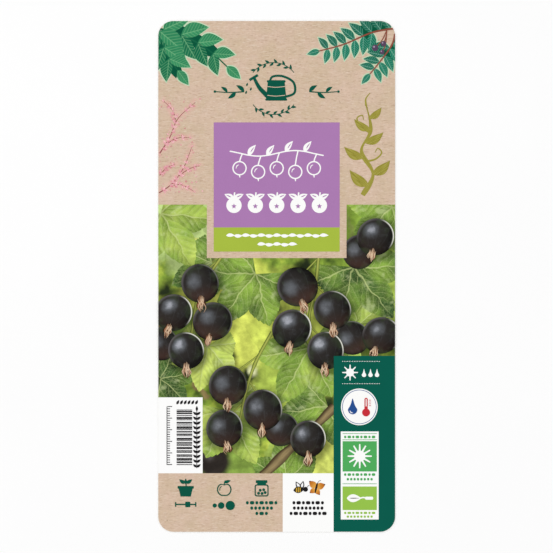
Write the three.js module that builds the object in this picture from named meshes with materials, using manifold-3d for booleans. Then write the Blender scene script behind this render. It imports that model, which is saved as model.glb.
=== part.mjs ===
// A printed plant label: a flat die-cut card with four rounded corners, printed on its face.
// Units are millimetres and +Z is up. The label lies on its back with its face up: X runs across
// it, Y runs from its foot to its head, and the origin is the middle of its back.
// Every printed area is a thin flat film. The grounds tile the card, and figures lie on them.

import * as THREE from 'three';
import { mergeVertices } from 'three/addons/utils/BufferGeometryUtils.js';
import Module from 'manifold-3d';

const wasm = await Module();
wasm.setup();

// Driving sizes of the card and its films
const CARD_WIDTH = 102;
const CARD_HEIGHT = 220;
const CARD_THICKNESS = 0.4;
const CORNER_RADIUS = 6.5;
const FILM = 0.08;

// Edges of the printed areas, measured from the middle of the card
const LEFT = -CARD_WIDTH / 2;
const RIGHT = CARD_WIDTH / 2;
const TOP = CARD_HEIGHT / 2;
const BOTTOM = -CARD_HEIGHT / 2;
const HEADER_FOOT = 30.9;
const TAB_HALF_WIDTH = 30.1;
const TAB_FOOT = 7.9;
const TITLE_HALF_WIDTH = 27.1;
const TITLE_HEAD = 66.3;
const STRIP_HEAD = 21.1;
const STRIP_FOOT = 10.7;
const FOOTER_HEAD = -84.8;
const CODE_RIGHT = -31.9;
const CODE_HEAD = -52.1;
const NOTE_LEFT = 2.6;
const SIDE_LEFT = 24.5;
const SIDE_HEAD = -34.2;

// The level of each layer of film: grounds lie on the card, and figures on the grounds
const GROUND = 0;
const FIRST = 1;
const SECOND = 2;
const THIRD = 3;

const DEGREE = Math.PI / 180;

const INKS = {
  board: { color: '#f4f1ea', roughness: 0.8 },
  kraft: { color: '#d5bca3', roughness: 0.85 },
  white: { color: '#fbfaf6', roughness: 0.6 },
  picture: { color: '#a3bd4c', roughness: 0.5 },
  purple: { color: '#aa7ab4', roughness: 0.55 },
  lime: { color: '#a6ba44', roughness: 0.55 },
  bottleGreen: { color: '#005a4c', roughness: 0.55 },
  leafGreen: { color: '#4f8f3c', roughness: 0.55 },
  cornerGreen: { color: '#2f8257', roughness: 0.6 },
  pink: { color: '#d98c96', roughness: 0.6 },
  olive: { color: '#9b9b32', roughness: 0.6 },
  stalk: { color: '#8f9c3f', roughness: 0.6 },
  wood: { color: '#8a744c', roughness: 0.7 },
  berry: { color: '#26242a', roughness: 0.4 },
  black: { color: '#1c1b1d', roughness: 0.6 },
  amber: { color: '#c98f3a', roughness: 0.6 },
  plateGreen: { color: '#4eaa5a', roughness: 0.55 },
  plateLime: { color: '#97c34b', roughness: 0.55 },
  red: { color: '#cc3340', roughness: 0.55 },
  blue: { color: '#2c5f9e', roughness: 0.55 },
};

// Flat outlines

const point = (x, y) => new THREE.Vector2(x, y);

function outline(points, holes = []) {
  const kept = points.filter((p, i) => p.distanceTo(points[(i + 1) % points.length]) > 0.01);
  const shape = new THREE.Shape(kept);
  shape.holes = holes;
  return shape;
}

function arcPoints(x, y, radius, fromDegrees, toDegrees, steps) {
  const points = [];
  for (let i = 0; i <= steps; i += 1) {
    const angle = (fromDegrees + ((toDegrees - fromDegrees) * i) / steps) * DEGREE;
    points.push(point(x + radius * Math.cos(angle), y + radius * Math.sin(angle)));
  }
  return points;
}

function disc(x, y, radius, steps = 24) {
  return outline(arcPoints(x, y, radius, 0, 360, steps));
}

function ring(x, y, radius, width, steps = 16) {
  const inner = new THREE.Path(arcPoints(x, y, radius - width, 360, 0, steps).slice(0, -1));
  return outline(arcPoints(x, y, radius, 0, 360, steps), [inner]);
}

// A rectangle whose named corners are rounded to the card's radius
function panel(left, bottom, right, top, rounded = []) {
  const r = CORNER_RADIUS;
  const steps = 10;
  const corner = (name, x, y, sx, sy, start) => (rounded.includes(name)
    ? arcPoints(x + sx * r, y + sy * r, r, start, start + 90, steps)
    : [point(x, y)]);
  return outline([
    ...corner('bottomLeft', left, bottom, 1, 1, 180),
    ...corner('bottomRight', right, bottom, -1, 1, 270),
    ...corner('topRight', right, top, -1, -1, 0),
    ...corner('topLeft', left, top, 1, -1, 90),
  ]);
}

// A drawn line along a smooth curve, which may swell or taper
function stroke(places, startWidth, endWidth = startWidth, steps = 10) {
  const curve = new THREE.SplineCurve(places.map(([x, y]) => point(x, y)));
  const near = [];
  const far = [];
  for (let i = 0; i <= steps; i += 1) {
    const t = i / steps;
    const at = curve.getPoint(t);
    const along = curve.getTangent(t);
    const half = THREE.MathUtils.lerp(startWidth, endWidth, t) / 2;
    near.push(point(at.x + along.y * half, at.y - along.x * half));
    far.unshift(point(at.x - along.y * half, at.y + along.x * half));
  }
  return outline([...near, ...far]);
}

// A plain pointed leaf that starts at x, y and is widest before its middle
function blade(x, y, degrees, length, width, steps = 3) {
  const upper = [];
  const lower = [];
  const cos = Math.cos(degrees * DEGREE);
  const sin = Math.sin(degrees * DEGREE);
  for (let i = 0; i <= steps; i += 1) {
    const t = i / steps;
    const along = length * t;
    const half = (width / 2) * Math.sin(Math.PI * t ** 0.8);
    upper.unshift(point(x + along * cos - half * sin, y + along * sin + half * cos));
    lower.push(point(x + along * cos + half * sin, y + along * sin - half * cos));
  }
  return outline([...lower, ...upper]);
}

// A lobed leaf: the reach from its base rises to each lobe's pointed tip and falls to the cuts
const LOBES = [
  { heading: -106, reach: 0.62 },
  { heading: -54, reach: 0.86 },
  { heading: 0, reach: 1 },
  { heading: 54, reach: 0.86 },
  { heading: 106, reach: 0.62 },
];
const LOBE_HALF_ANGLE = 27;
const LOBE_CUT = 0.52;
const LOBE_STEPS = 8;

function lobedLeaf({ x, y, degrees, size }) {
  const points = [point(x, y)];
  for (const lobe of LOBES) {
    for (let i = 0; i < LOBE_STEPS; i += 1) {
      const offset = (2 * i) / LOBE_STEPS - 1;
      const rise = (1 - Math.abs(offset)) ** 0.85;
      const reach = size * THREE.MathUtils.lerp(LOBE_CUT, lobe.reach, rise);
      const angle = (degrees + lobe.heading + offset * LOBE_HALF_ANGLE) * DEGREE;
      points.push(point(x + reach * Math.cos(angle), y + reach * Math.sin(angle)));
    }
  }
  return outline(points);
}

// Films: extruded outlines, fused where a figure has several strokes

function solid(shape, height) {
  const geometry = new THREE.ExtrudeGeometry(shape, { depth: height, bevelEnabled: false, steps: 1 });
  geometry.deleteAttribute('normal');
  geometry.deleteAttribute('uv');
  return mergeVertices(geometry, 1e-4);
}

function toManifold(geometry) {
  return new wasm.Manifold(new wasm.Mesh({
    numProp: 3,
    vertProperties: new Float32Array(geometry.attributes.position.array),
    triVerts: new Uint32Array(geometry.index.array),
  }));
}

function fromManifold(manifold) {
  const { vertProperties, triVerts } = manifold.getMesh();
  const geometry = new THREE.BufferGeometry();
  geometry.setAttribute('position', new THREE.BufferAttribute(new Float32Array(vertProperties), 3));
  geometry.setIndex(new THREE.BufferAttribute(new Uint32Array(triVerts), 1));
  return geometry;
}

function fuse(shapes, height, within) {
  let body = shapes.map((shape) => toManifold(solid(shape, height))).reduce((a, b) => a.add(b));
  if (within) body = body.intersect(toManifold(solid(within, height)));
  return fromManifold(body);
}

const label = new THREE.Group();

function addSolid(name, height, ink, geometry) {
  geometry.computeVertexNormals();
  const material = new THREE.MeshStandardMaterial({ ...INKS[ink], metalness: 0, flatShading: true });
  const mesh = new THREE.Mesh(geometry, material);
  mesh.name = name;
  mesh.position.z = height;
  label.add(mesh);
}

const levelHeight = (level) => CARD_THICKNESS + level * FILM;

// One film from one outline, or from several that are fused, cut off at the edge of its ground
function addFilm(name, level, ink, shapes, within = null) {
  const list = Array.isArray(shapes) ? shapes : [shapes];
  const plain = list.length === 1 && !within;
  addSolid(name, levelHeight(level), ink, plain ? solid(list[0], FILM) : fuse(list, FILM, within));
}

// The card
const ALL_CORNERS = ['bottomLeft', 'bottomRight', 'topRight', 'topLeft'];
addSolid('card', 0, 'board', solid(panel(LEFT, BOTTOM, RIGHT, TOP, ALL_CORNERS), CARD_THICKNESS));

// The header's kraft ground, with the tab that frames the title block and hangs into the picture
const headerOutline = outline([
  point(LEFT, HEADER_FOOT),
  point(-TAB_HALF_WIDTH, HEADER_FOOT),
  point(-TAB_HALF_WIDTH, TAB_FOOT),
  point(TAB_HALF_WIDTH, TAB_FOOT),
  point(TAB_HALF_WIDTH, HEADER_FOOT),
  point(RIGHT, HEADER_FOOT),
  ...arcPoints(RIGHT - CORNER_RADIUS, TOP - CORNER_RADIUS, CORNER_RADIUS, 0, 90, 10),
  ...arcPoints(LEFT + CORNER_RADIUS, TOP - CORNER_RADIUS, CORNER_RADIUS, 90, 180, 10),
]);
addFilm('header_ground', GROUND, 'kraft', headerOutline);

// The picture's ground fills what the header, the code, the footer and the side panel leave
const pictureOutline = outline([
  point(LEFT, CODE_HEAD),
  point(CODE_RIGHT, CODE_HEAD),
  point(CODE_RIGHT, FOOTER_HEAD),
  point(SIDE_LEFT, FOOTER_HEAD),
  point(SIDE_LEFT, SIDE_HEAD),
  point(RIGHT, SIDE_HEAD),
  point(RIGHT, HEADER_FOOT),
  point(TAB_HALF_WIDTH, HEADER_FOOT),
  point(TAB_HALF_WIDTH, TAB_FOOT),
  point(-TAB_HALF_WIDTH, TAB_FOOT),
  point(-TAB_HALF_WIDTH, HEADER_FOOT),
  point(LEFT, HEADER_FOOT),
]);
addFilm('picture_ground', GROUND, 'picture', pictureOutline);

addFilm('code_ground', GROUND, 'white', panel(LEFT, FOOTER_HEAD, CODE_RIGHT, CODE_HEAD));
addFilm('footer_ground', GROUND, 'kraft', panel(LEFT, BOTTOM, NOTE_LEFT, FOOTER_HEAD, ['bottomLeft']));
addFilm('note_ground', GROUND, 'white', panel(NOTE_LEFT, BOTTOM, SIDE_LEFT, FOOTER_HEAD));
addFilm('side_ground', GROUND, 'bottleGreen', panel(SIDE_LEFT, BOTTOM, RIGHT, SIDE_HEAD, ['bottomRight']));

// The title block and the strip under it
addFilm('title_block', FIRST, 'purple', panel(-TITLE_HALF_WIDTH, STRIP_HEAD, TITLE_HALF_WIDTH, TITLE_HEAD));
addFilm('title_strip', FIRST, 'lime', panel(-TITLE_HALF_WIDTH, STRIP_FOOT, TITLE_HALF_WIDTH, STRIP_HEAD));

// A fine white truss of berries, drawn in line, and a bold garland of discs and leaves under it
const TRUSS_Y = 53;
const TRUSS_HALF = 20;
const TRUSS_LINE = 0.55;
const TRUSS_BERRY = 3.1;
const TRUSS_STEP = 8;
const trussHeight = (x) => TRUSS_Y + 1.2 * Math.sin(x / 5);
const trussPlaces = [];
for (let x = -TRUSS_HALF; x <= TRUSS_HALF; x += 4) trussPlaces.push([x, trussHeight(x)]);
const trussShapes = [stroke(trussPlaces, TRUSS_LINE, TRUSS_LINE, 16)];
for (let i = -2; i <= 2; i += 1) {
  const x = i * TRUSS_STEP;
  const berryY = TRUSS_Y - 6.4 - (Math.abs(i) % 2) * 1.6;
  const headY = trussHeight(x + 1.2);
  const footY = berryY + TRUSS_BERRY - TRUSS_LINE / 2;
  const stalk = [[x + 1.2, headY], [x + 0.5, (headY + footY) / 2], [x, footY]];
  trussShapes.push(stroke(stalk, TRUSS_LINE, TRUSS_LINE, 2));
  trussShapes.push(ring(x, berryY, TRUSS_BERRY, TRUSS_LINE));
}
for (let i = -1.5; i <= 1.5; i += 1) {
  const x = i * TRUSS_STEP;
  trussShapes.push(blade(x - 0.3, trussHeight(x) - 0.3, 55, 5.8, 2.4));
}
addFilm('title_truss', SECOND, 'white', trussShapes);

const GARLAND_Y = 31.5;
const GARLAND_STEP = 9.4;
const GARLAND_LINE = 0.8;
const garlandFoot = GARLAND_Y - 1.7;
const garlandShapes = [
  panel(-2 * GARLAND_STEP, garlandFoot - GARLAND_LINE / 2, 2 * GARLAND_STEP, garlandFoot + GARLAND_LINE / 2),
];
for (let i = -2; i <= 2; i += 1) {
  garlandShapes.push(disc(i * GARLAND_STEP, GARLAND_Y, 2.7, 16));
}
for (let i = -1.5; i <= 1.5; i += 1) {
  garlandShapes.push(blade(i * GARLAND_STEP, garlandFoot, 52, 5.4, 2.3));
  garlandShapes.push(blade(i * GARLAND_STEP, garlandFoot, 128, 5.4, 2.3));
}
addFilm('title_garland', SECOND, 'white', garlandShapes);

// Two rows of small white leaves on the strip, each row one chain
function leafChain(y, count, length, width) {
  const step = length * 0.86;
  const start = (-count * step) / 2;
  const chain = [];
  for (let i = 0; i < count; i += 1) chain.push(blade(start + i * step, y, 0, length, width));
  return chain;
}
addFilm('strip_row_upper', SECOND, 'white', leafChain(17.6, 13, 3.9, 1.5));
addFilm('strip_row_lower', SECOND, 'white', leafChain(13.8, 5, 3.9, 1.5));

// The emblem in the header: a watering can between two fine rules that end in a leaf
const CAN_Y = 80.6;
const fromCan = (places) => outline(places.map(([x, y]) => point(x, CAN_Y + y)));
const canHandle = [[3.2, -3.4], [7.6, -1.6], [7.2, 3], [2.6, 5.6], [-1.8, 5.4], [-3, 3]]
  .map(([x, y]) => [x, CAN_Y + y]);
addFilm('emblem_can', FIRST, 'bottleGreen', [
  fromCan([[-4.6, -4.6], [4.2, -4.6], [3.4, 3.4], [-3.8, 3.4]]),
  stroke([[-3.6, CAN_Y - 3.2], [-7.4, CAN_Y + 0.6], [-9.8, CAN_Y + 5]], 2.2, 1.1, 6),
  fromCan([[-11.4, 3.5], [-7.8, 5.7], [-8.4, 6.6], [-12, 4.4]]),
  stroke(canHandle, 1, 0.9, 14),
]);
for (const [side, name] of [[-1, 'left'], [1, 'right']]) {
  const heading = side < 0 ? 180 : 0;
  addFilm(`emblem_rule_${name}`, FIRST, 'bottleGreen', [
    stroke([[side * 14, CAN_Y - 1], [side * 20, CAN_Y - 1.4], [side * 26.5, CAN_Y - 1]], 0.5, 0.35, 6),
    blade(side * 14, CAN_Y - 1, heading + side * 38, 4.4, 1.7),
    blade(side * 17.6, CAN_Y - 1.2, heading - side * 38, 4.4, 1.7),
    blade(side * 21.2, CAN_Y - 1.2, heading + side * 38, 3.6, 1.4),
  ]);
}

// A stem with paired leaves that shorten towards its tip
function sprig({ places, pairs, length, width, spread, stem }) {
  const curve = new THREE.SplineCurve(places.map(([x, y]) => point(x, y)));
  const shapes = [stroke(places, stem, stem * 0.5, 8)];
  for (let i = 0; i < pairs; i += 1) {
    const t = 0.12 + (0.84 * i) / pairs;
    const at = curve.getPoint(t);
    const heading = curve.getTangent(t).angle() / DEGREE;
    const size = 1 - 0.45 * t;
    shapes.push(blade(at.x, at.y, heading + spread, length * size, width * size));
    shapes.push(blade(at.x, at.y, heading - spread, length * size, width * size));
  }
  const tip = curve.getPoint(0.97);
  shapes.push(blade(tip.x, tip.y, curve.getTangent(1).angle() / DEGREE, length * 0.55, width * 0.55));
  return shapes;
}

// Long laurel leaves arch out of the head's left corner
const LAUREL = { length: 14.5, width: 5.5, spread: 37, stem: 1 };
addFilm('corner_sprig_left', FIRST, 'cornerGreen', [
  ...sprig({ ...LAUREL, places: [[-52, 107], [-41, 104], [-30, 98], [-21, 90]], pairs: 4 }),
  ...sprig({ ...LAUREL, places: [[-51, 108], [-49, 99], [-46, 92], [-41, 85]], pairs: 3 }),
], headerOutline);

// Fern fronds hang out of the head's right corner
const FERN = { length: 9.2, width: 2.8, spread: 66, stem: 0.9 };
addFilm('corner_fern_right', FIRST, 'cornerGreen', [
  ...sprig({ ...FERN, places: [[52, 107], [41, 105], [29, 100], [18, 97]], pairs: 8 }),
  ...sprig({ ...FERN, places: [[51, 104], [49, 98], [43, 90], [38, 83]], pairs: 6 }),
], headerOutline);

// Pink flower stalks rise along the header's left edge
const FLOWER_STALK = { pairs: 7, length: 3.6, width: 1.5, spread: 48, stem: 0.5 };
const UPPER_STALK = [[-50.4, 53], [-46, 60], [-42.5, 68], [-35, 75]];
const LOWER_STALK = [[-50.6, 36], [-45, 40], [-40, 47], [-36.5, 56]];
addFilm('pink_sprig_upper', FIRST, 'pink', sprig({ ...FLOWER_STALK, places: UPPER_STALK }), headerOutline);
addFilm('pink_sprig_lower', FIRST, 'pink', sprig({ ...FLOWER_STALK, places: LOWER_STALK }), headerOutline);

// An olive brush flourish climbs the header's right side
addFilm('olive_flourish', FIRST, 'olive', [
  stroke([[37, 35], [41.5, 44], [36.5, 54], [40.5, 63], [38.5, 74]], 1.9, 0.6, 14),
  blade(39.6, 39, 140, 9.5, 3.2),
  blade(41.2, 44, 38, 8.6, 3),
  blade(37.4, 51, 150, 8.6, 2.8),
  blade(38, 57.5, 30, 8.2, 2.6),
  blade(40.4, 63, 146, 7.6, 2.4),
  blade(39.8, 68, 42, 6.4, 2.1),
]);

// Bars of a plain stripe pattern on their thin carrier, stacked up the code panel
const CODE_BAR = { left: -43.1, right: -36.2, bottom: -81.2, top: -56.1 };
const BAR_WIDTHS = [1, 2, 1, 3, 1, 2, 2, 1, 3, 1];
const BAR_GAPS = [2, 1, 1, 2, 1, 3, 1, 2];
const CODE_CELLS = 95;
const CELL = (CODE_BAR.top - CODE_BAR.bottom) / CODE_CELLS;
const boxPanel = ({ left, bottom, right, top }) => panel(left, bottom, right, top);
let code = toManifold(solid(boxPanel(CODE_BAR), FILM / 4));
let cell = 0;
for (let i = 0; cell < CODE_CELLS - 3; i += 1) {
  const width = BAR_WIDTHS[i % BAR_WIDTHS.length];
  const bottom = CODE_BAR.bottom + cell * CELL;
  const top = Math.min(bottom + width * CELL, CODE_BAR.top);
  code = code.add(toManifold(solid(boxPanel({ ...CODE_BAR, bottom, top }), FILM)));
  cell += width + BAR_GAPS[i % BAR_GAPS.length];
}
addSolid('code_bars', levelHeight(FIRST), 'black', fromManifold(code));

// Plain figures along the footer, in the header's dark green
const FIGURE_Y = -91.2;
const POT_X = -39.2;
const APPLE_X = -22.6;
const JAR_X = -6.5;
addFilm('pot_figure', FIRST, 'bottleGreen', [
  outline([
    point(POT_X - 2.2, FIGURE_Y - 3.6), point(POT_X + 2.2, FIGURE_Y - 3.6),
    point(POT_X + 3.1, FIGURE_Y + 0.2), point(POT_X - 3.1, FIGURE_Y + 0.2),
  ]),
  panel(POT_X - 3.5, FIGURE_Y - 0.2, POT_X + 3.5, FIGURE_Y + 0.9),
  stroke([[POT_X, FIGURE_Y], [POT_X + 0.2, FIGURE_Y + 1.6], [POT_X, FIGURE_Y + 3]], 0.45, 0.45, 4),
  blade(POT_X, FIGURE_Y + 2.2, 150, 3.2, 1.6),
  blade(POT_X, FIGURE_Y + 2.2, 30, 3.2, 1.6),
]);

// An apple's outline dips deep at its head and a little at its foot
function applePoints(radius, steps = 28) {
  const points = [];
  for (let i = 0; i < steps; i += 1) {
    const angle = (2 * Math.PI * i) / steps;
    const fromHead = Math.abs(Math.PI - ((angle + 1.5 * Math.PI) % (2 * Math.PI)));
    const headDip = 0.28 * Math.exp(-(((Math.PI - fromHead) / 0.42) ** 2));
    const footDip = 0.08 * Math.exp(-((fromHead / 0.35) ** 2));
    const across = radius * 1.05 * Math.cos(angle);
    const up = radius * (1 - headDip - footDip) * Math.sin(angle);
    points.push(point(APPLE_X + across, FIGURE_Y - 0.6 + up));
  }
  return points;
}
addFilm('apple_figure', FIRST, 'bottleGreen', [
  outline(applePoints(3), [new THREE.Path(applePoints(2.5).reverse())]),
  stroke([[APPLE_X, FIGURE_Y + 1.2], [APPLE_X + 0.1, FIGURE_Y + 2.3], [APPLE_X + 0.5, FIGURE_Y + 3.3]], 0.45),
  blade(APPLE_X + 0.2, FIGURE_Y + 2.2, 22, 2.8, 1.3),
]);
addFilm('jar_figure', FIRST, 'bottleGreen', [
  panel(JAR_X - 3, FIGURE_Y - 3.6, JAR_X - 2.5, FIGURE_Y + 1.6),
  panel(JAR_X + 2.5, FIGURE_Y - 3.6, JAR_X + 3, FIGURE_Y + 1.6),
  panel(JAR_X - 3, FIGURE_Y - 3.6, JAR_X + 3, FIGURE_Y - 3.1),
  panel(JAR_X - 3, FIGURE_Y + 1.1, JAR_X + 3, FIGURE_Y + 1.6),
  panel(JAR_X - 1.9, FIGURE_Y + 1.4, JAR_X + 1.9, FIGURE_Y + 2.4),
  panel(JAR_X - 2.5, FIGURE_Y + 2.2, JAR_X + 2.5, FIGURE_Y + 3.4),
]);

// A bee and a butterfly on the note panel
const BEE_X = 10.2;
const BUTTERFLY_X = 17;
addFilm('bee_figure', FIRST, 'black', [
  blade(BEE_X - 3, FIGURE_Y - 1, 8, 5, 2.8, 6),
  disc(BEE_X + 2.2, FIGURE_Y - 0.5, 1.05, 12),
  blade(BEE_X, FIGURE_Y - 0.4, 122, 3.8, 2, 5),
  blade(BEE_X + 0.4, FIGURE_Y - 0.4, 76, 3.6, 1.8, 5),
]);
const butterflyBody = [-1, 0, 1].map((i) => [BUTTERFLY_X + 0.5 * i, FIGURE_Y + 2.1 * i]);
addFilm('butterfly_figure', FIRST, 'amber', [
  stroke(butterflyBody, 0.8, 0.5, 4),
  blade(BUTTERFLY_X, FIGURE_Y + 0.2, 136, 4.2, 2.9, 5),
  blade(BUTTERFLY_X, FIGURE_Y + 0.2, 20, 4.2, 2.9, 5),
  blade(BUTTERFLY_X - 0.2, FIGURE_Y - 0.4, 212, 3.1, 2.2, 5),
  blade(BUTTERFLY_X - 0.2, FIGURE_Y - 0.4, -56, 3.1, 2.2, 5),
]);

// A sun on the side panel: a disc in a ring of rays
function sun(x, y, radius, reach, rays, width) {
  const shapes = [disc(x, y, radius, 16)];
  for (let i = 0; i < rays; i += 1) {
    const angle = ((i * 360) / rays) * DEGREE;
    const [cos, sin] = [Math.cos(angle), Math.sin(angle)];
    shapes.push(stroke(
      [[x + 0.6 * radius * cos, y + 0.6 * radius * sin], [x + reach * cos, y + reach * sin]],
      width,
      width * 0.6,
      1,
    ));
  }
  return shapes;
}
addFilm('side_sun', FIRST, 'white', sun(31.6, -41.4, 1.7, 3.4, 8, 0.7));

// The round badge with a drop and a thermometer, which say how the plant is kept
const BADGE = { x: 35.6, y: -56.2, radius: 7.9 };
addFilm('badge', FIRST, 'white', disc(BADGE.x, BADGE.y, BADGE.radius, 40));
addFilm('badge_drop', SECOND, 'blue', [
  disc(BADGE.x - 2.9, BADGE.y - 1.2, 2, 20),
  outline([
    point(BADGE.x - 4.75, BADGE.y - 0.5),
    point(BADGE.x - 1.05, BADGE.y - 0.5),
    point(BADGE.x - 2.9, BADGE.y + 3.6),
  ]),
]);
addFilm('badge_thermometer', SECOND, 'red', [
  disc(BADGE.x + 2.9, BADGE.y - 2.4, 1.7, 20),
  panel(BADGE.x + 2.2, BADGE.y - 2.4, BADGE.x + 3.6, BADGE.y + 3.9),
]);

// The white plate with its two coloured blocks
const PLATE = { left: 27.6, right: 43.9, bottom: -104.7, top: -66.8 };
const UPPER_BLOCK = { left: 28.4, right: 43.1, bottom: -84, top: -71 };
const LOWER_BLOCK = { left: 28.4, right: 43.1, bottom: -100.6, top: -90.5 };
const plateX = (PLATE.left + PLATE.right) / 2;
addFilm('plate', FIRST, 'white', boxPanel(PLATE));
addFilm('plate_upper_block', SECOND, 'plateGreen', boxPanel(UPPER_BLOCK));
addFilm('plate_lower_block', SECOND, 'plateLime', boxPanel(LOWER_BLOCK));
addFilm('plate_sun', THIRD, 'white', sun(plateX, -77.4, 2.4, 5.2, 12, 0.9));
const TROWEL_Y = -95.5;
addFilm('plate_trowel', THIRD, 'white', [
  blade(plateX - 5.6, TROWEL_Y, 0, 6.4, 3.4, 8),
  stroke([[plateX + 0.2, TROWEL_Y], [plateX + 1.6, TROWEL_Y + 0.3], [plateX + 2.6, TROWEL_Y]], 0.6, 0.6, 4),
  panel(plateX + 2.3, TROWEL_Y - 0.65, plateX + 5.8, TROWEL_Y + 0.65),
]);

// The picture: lobed leaves, the stalks over them, and dark berries in front
const LEAVES = [
  { name: 'leaf_upper_left', x: -50, y: 27, degrees: -58, size: 27 },
  { name: 'leaf_left', x: -9, y: 1, degrees: -128, size: 27 },
  { name: 'leaf_right', x: 33, y: 4, degrees: -52, size: 28 },
  { name: 'leaf_middle', x: 14, y: -31, degrees: -118, size: 27 },
  { name: 'leaf_lower', x: -21, y: -58, degrees: -62, size: 26 },
];
LEAVES.forEach((leaf) => addFilm(leaf.name, FIRST, 'leafGreen', lobedLeaf(leaf), pictureOutline));

const STALKS = {
  stalk_left: [[-24, 8.2], [-33, -6], [-36, -20], [-37, -30]],
  stalk_middle: [[18, 8.2], [16.5, -6], [14, -18], [15.5, -30]],
  stalk_lower: [[-11, -38], [-13.5, -48], [-15.5, -58], [-16.5, -66]],
};
for (const [name, places] of Object.entries(STALKS)) {
  addFilm(name, SECOND, 'stalk', stroke(places, 1.5, 0.9, 12), pictureOutline);
}
const BRANCH = [[25, -56], [14, -67], [4, -76], [-6, -86]];
addFilm('branch_lower', SECOND, 'wood', stroke(BRANCH, 3.6, 4.6, 12), pictureOutline);

const BERRIES = [
  [-33, -3, 8.4], [-44.5, -15.6, 8.2], [-27.6, -19.4, 8.6], [-39, -32, 8],
  [9, -4.5, 8.8], [24, -14.5, 8.4], [6.5, -22.6, 8.6], [21, -32, 8.2],
  [42.5, 17, 8.2], [45, -25.4, 8.2],
  [-21, -47, 8.6], [-6, -57.5, 8.8], [-22.5, -65.5, 8.2], [13.5, -70, 8],
];
BERRIES.forEach(([x, y, radius], i) => {
  addFilm(`berry_${i + 1}`, THIRD, 'berry', disc(x, y, radius), pictureOutline);
});

export default label;
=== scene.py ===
# %% [markdown]
# # A printed plant label
# The object is a flat die-cut card with four rounded corners. It lies on its back, and everything that
# gives it its looks is printed on its face. The packed frame holds the card and each printed area as a
# thin solid. This lesson gives the areas their inks, and draws the fine figures that stand on them.

# %% Load the frame
import math
import random
from functools import partialmethod, reduce

import bpy
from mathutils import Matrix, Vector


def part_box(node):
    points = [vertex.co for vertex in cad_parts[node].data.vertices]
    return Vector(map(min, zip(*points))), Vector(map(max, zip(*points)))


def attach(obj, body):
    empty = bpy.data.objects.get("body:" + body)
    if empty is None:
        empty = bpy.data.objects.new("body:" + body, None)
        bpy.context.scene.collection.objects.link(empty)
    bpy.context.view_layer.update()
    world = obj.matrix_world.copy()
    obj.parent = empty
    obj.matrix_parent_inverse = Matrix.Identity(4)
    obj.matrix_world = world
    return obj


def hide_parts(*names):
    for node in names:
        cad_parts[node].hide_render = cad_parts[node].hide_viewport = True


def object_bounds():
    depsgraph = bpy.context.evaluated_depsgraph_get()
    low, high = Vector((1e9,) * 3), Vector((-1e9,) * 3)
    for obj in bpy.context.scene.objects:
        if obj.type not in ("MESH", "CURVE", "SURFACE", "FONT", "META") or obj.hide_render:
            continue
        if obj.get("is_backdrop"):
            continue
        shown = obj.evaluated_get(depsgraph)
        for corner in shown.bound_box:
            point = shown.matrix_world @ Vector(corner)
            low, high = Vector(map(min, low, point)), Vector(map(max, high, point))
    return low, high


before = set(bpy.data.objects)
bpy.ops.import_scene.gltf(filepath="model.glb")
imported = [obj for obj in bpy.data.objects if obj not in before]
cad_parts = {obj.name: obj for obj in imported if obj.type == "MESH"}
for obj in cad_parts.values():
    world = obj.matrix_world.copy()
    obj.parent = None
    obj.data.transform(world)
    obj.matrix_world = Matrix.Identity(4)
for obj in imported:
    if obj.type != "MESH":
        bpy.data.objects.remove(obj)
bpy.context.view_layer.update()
bpy.ops.object.select_all(action="DESELECT")

# %% [markdown]
# Blender works in metres, but a printed film is less than a tenth of a millimetre thick, and several
# tools merge points that lie so close. So every piece is drawn with a millimetre as its unit, and is
# scaled down once at the end. The sizes of the card and the edges of its panels come from the frame.

# %% Sizes in millimetres
MM = 0.001
METRE = 1 / MM


def edges(node):
    """The left, bottom, right and top edge of a node, in mm."""
    low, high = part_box(node)
    return low.x * METRE, low.y * METRE, high.x * METRE, high.y * METRE


def head(node):
    """The height of a node's upper face, in mm."""
    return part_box(node)[1].z * METRE


LEFT, BOTTOM, RIGHT, TOP = edges("card")
CORNER_RADIUS = 6.5
CARD_TOP = head("card")
FILM_FOOT = head("header_ground")
FIRST_TOP = head("title_block")
SECOND_TOP = head("title_truss")
THIRD_TOP = head("berry_1")
OVERPRINT = 0.02
HEADER_FOOT = edges("picture_ground")[3]
TAB_HALF_WIDTH = 30.1
TAB_FOOT = edges("header_ground")[1]
CODE_RIGHT, CODE_HEAD = edges("code_ground")[2:]
FOOTER_HEAD = edges("footer_ground")[3]
SIDE_LEFT, _, _, SIDE_HEAD = edges("side_ground")
print("card", round(RIGHT - LEFT, 2), "by", round(TOP - BOTTOM, 2), "mm, films up to", round(THIRD_TOP, 2))

# %% [markdown]
# The photograph looks straight down on the label. A long lens keeps the card's edges parallel, and its
# height follows from the width that the picture shows.

# %% Camera
VIEW_WIDTH = 238.1
LENS = 85.0
SENSOR = 36.0
VIEW_X, VIEW_Y = -0.085, -0.045
NEAREST = 0.01

camera_height = VIEW_WIDTH * LENS / SENSOR + THIRD_TOP
bpy.ops.object.camera_add(location=(VIEW_X * MM, VIEW_Y * MM, camera_height * MM), rotation=(0, 0, 0))
camera = bpy.context.object
camera.name = "camera_above"
camera.data.lens = LENS
camera.data.sensor_width = SENSOR
camera.data.clip_start = NEAREST
bpy.context.scene.camera = camera
print("camera at", round(camera_height), "mm")

# %% [markdown]
# The light is that of a copy stand: a pale room, and four broad soft lamps at the sides. None of them
# stands where a flat glossy card would mirror it into the camera above.

# %% Light
LAMP_DISTANCE = 1.5
LAMP_HEIGHT = 1.25
LAMP_SIZE = 1.3
LAMP_POWERS = {45: 6.2, 135: 9.6, 225: 6.2, 315: 4.8}
ROOM_LIGHT = 0.6

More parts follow.
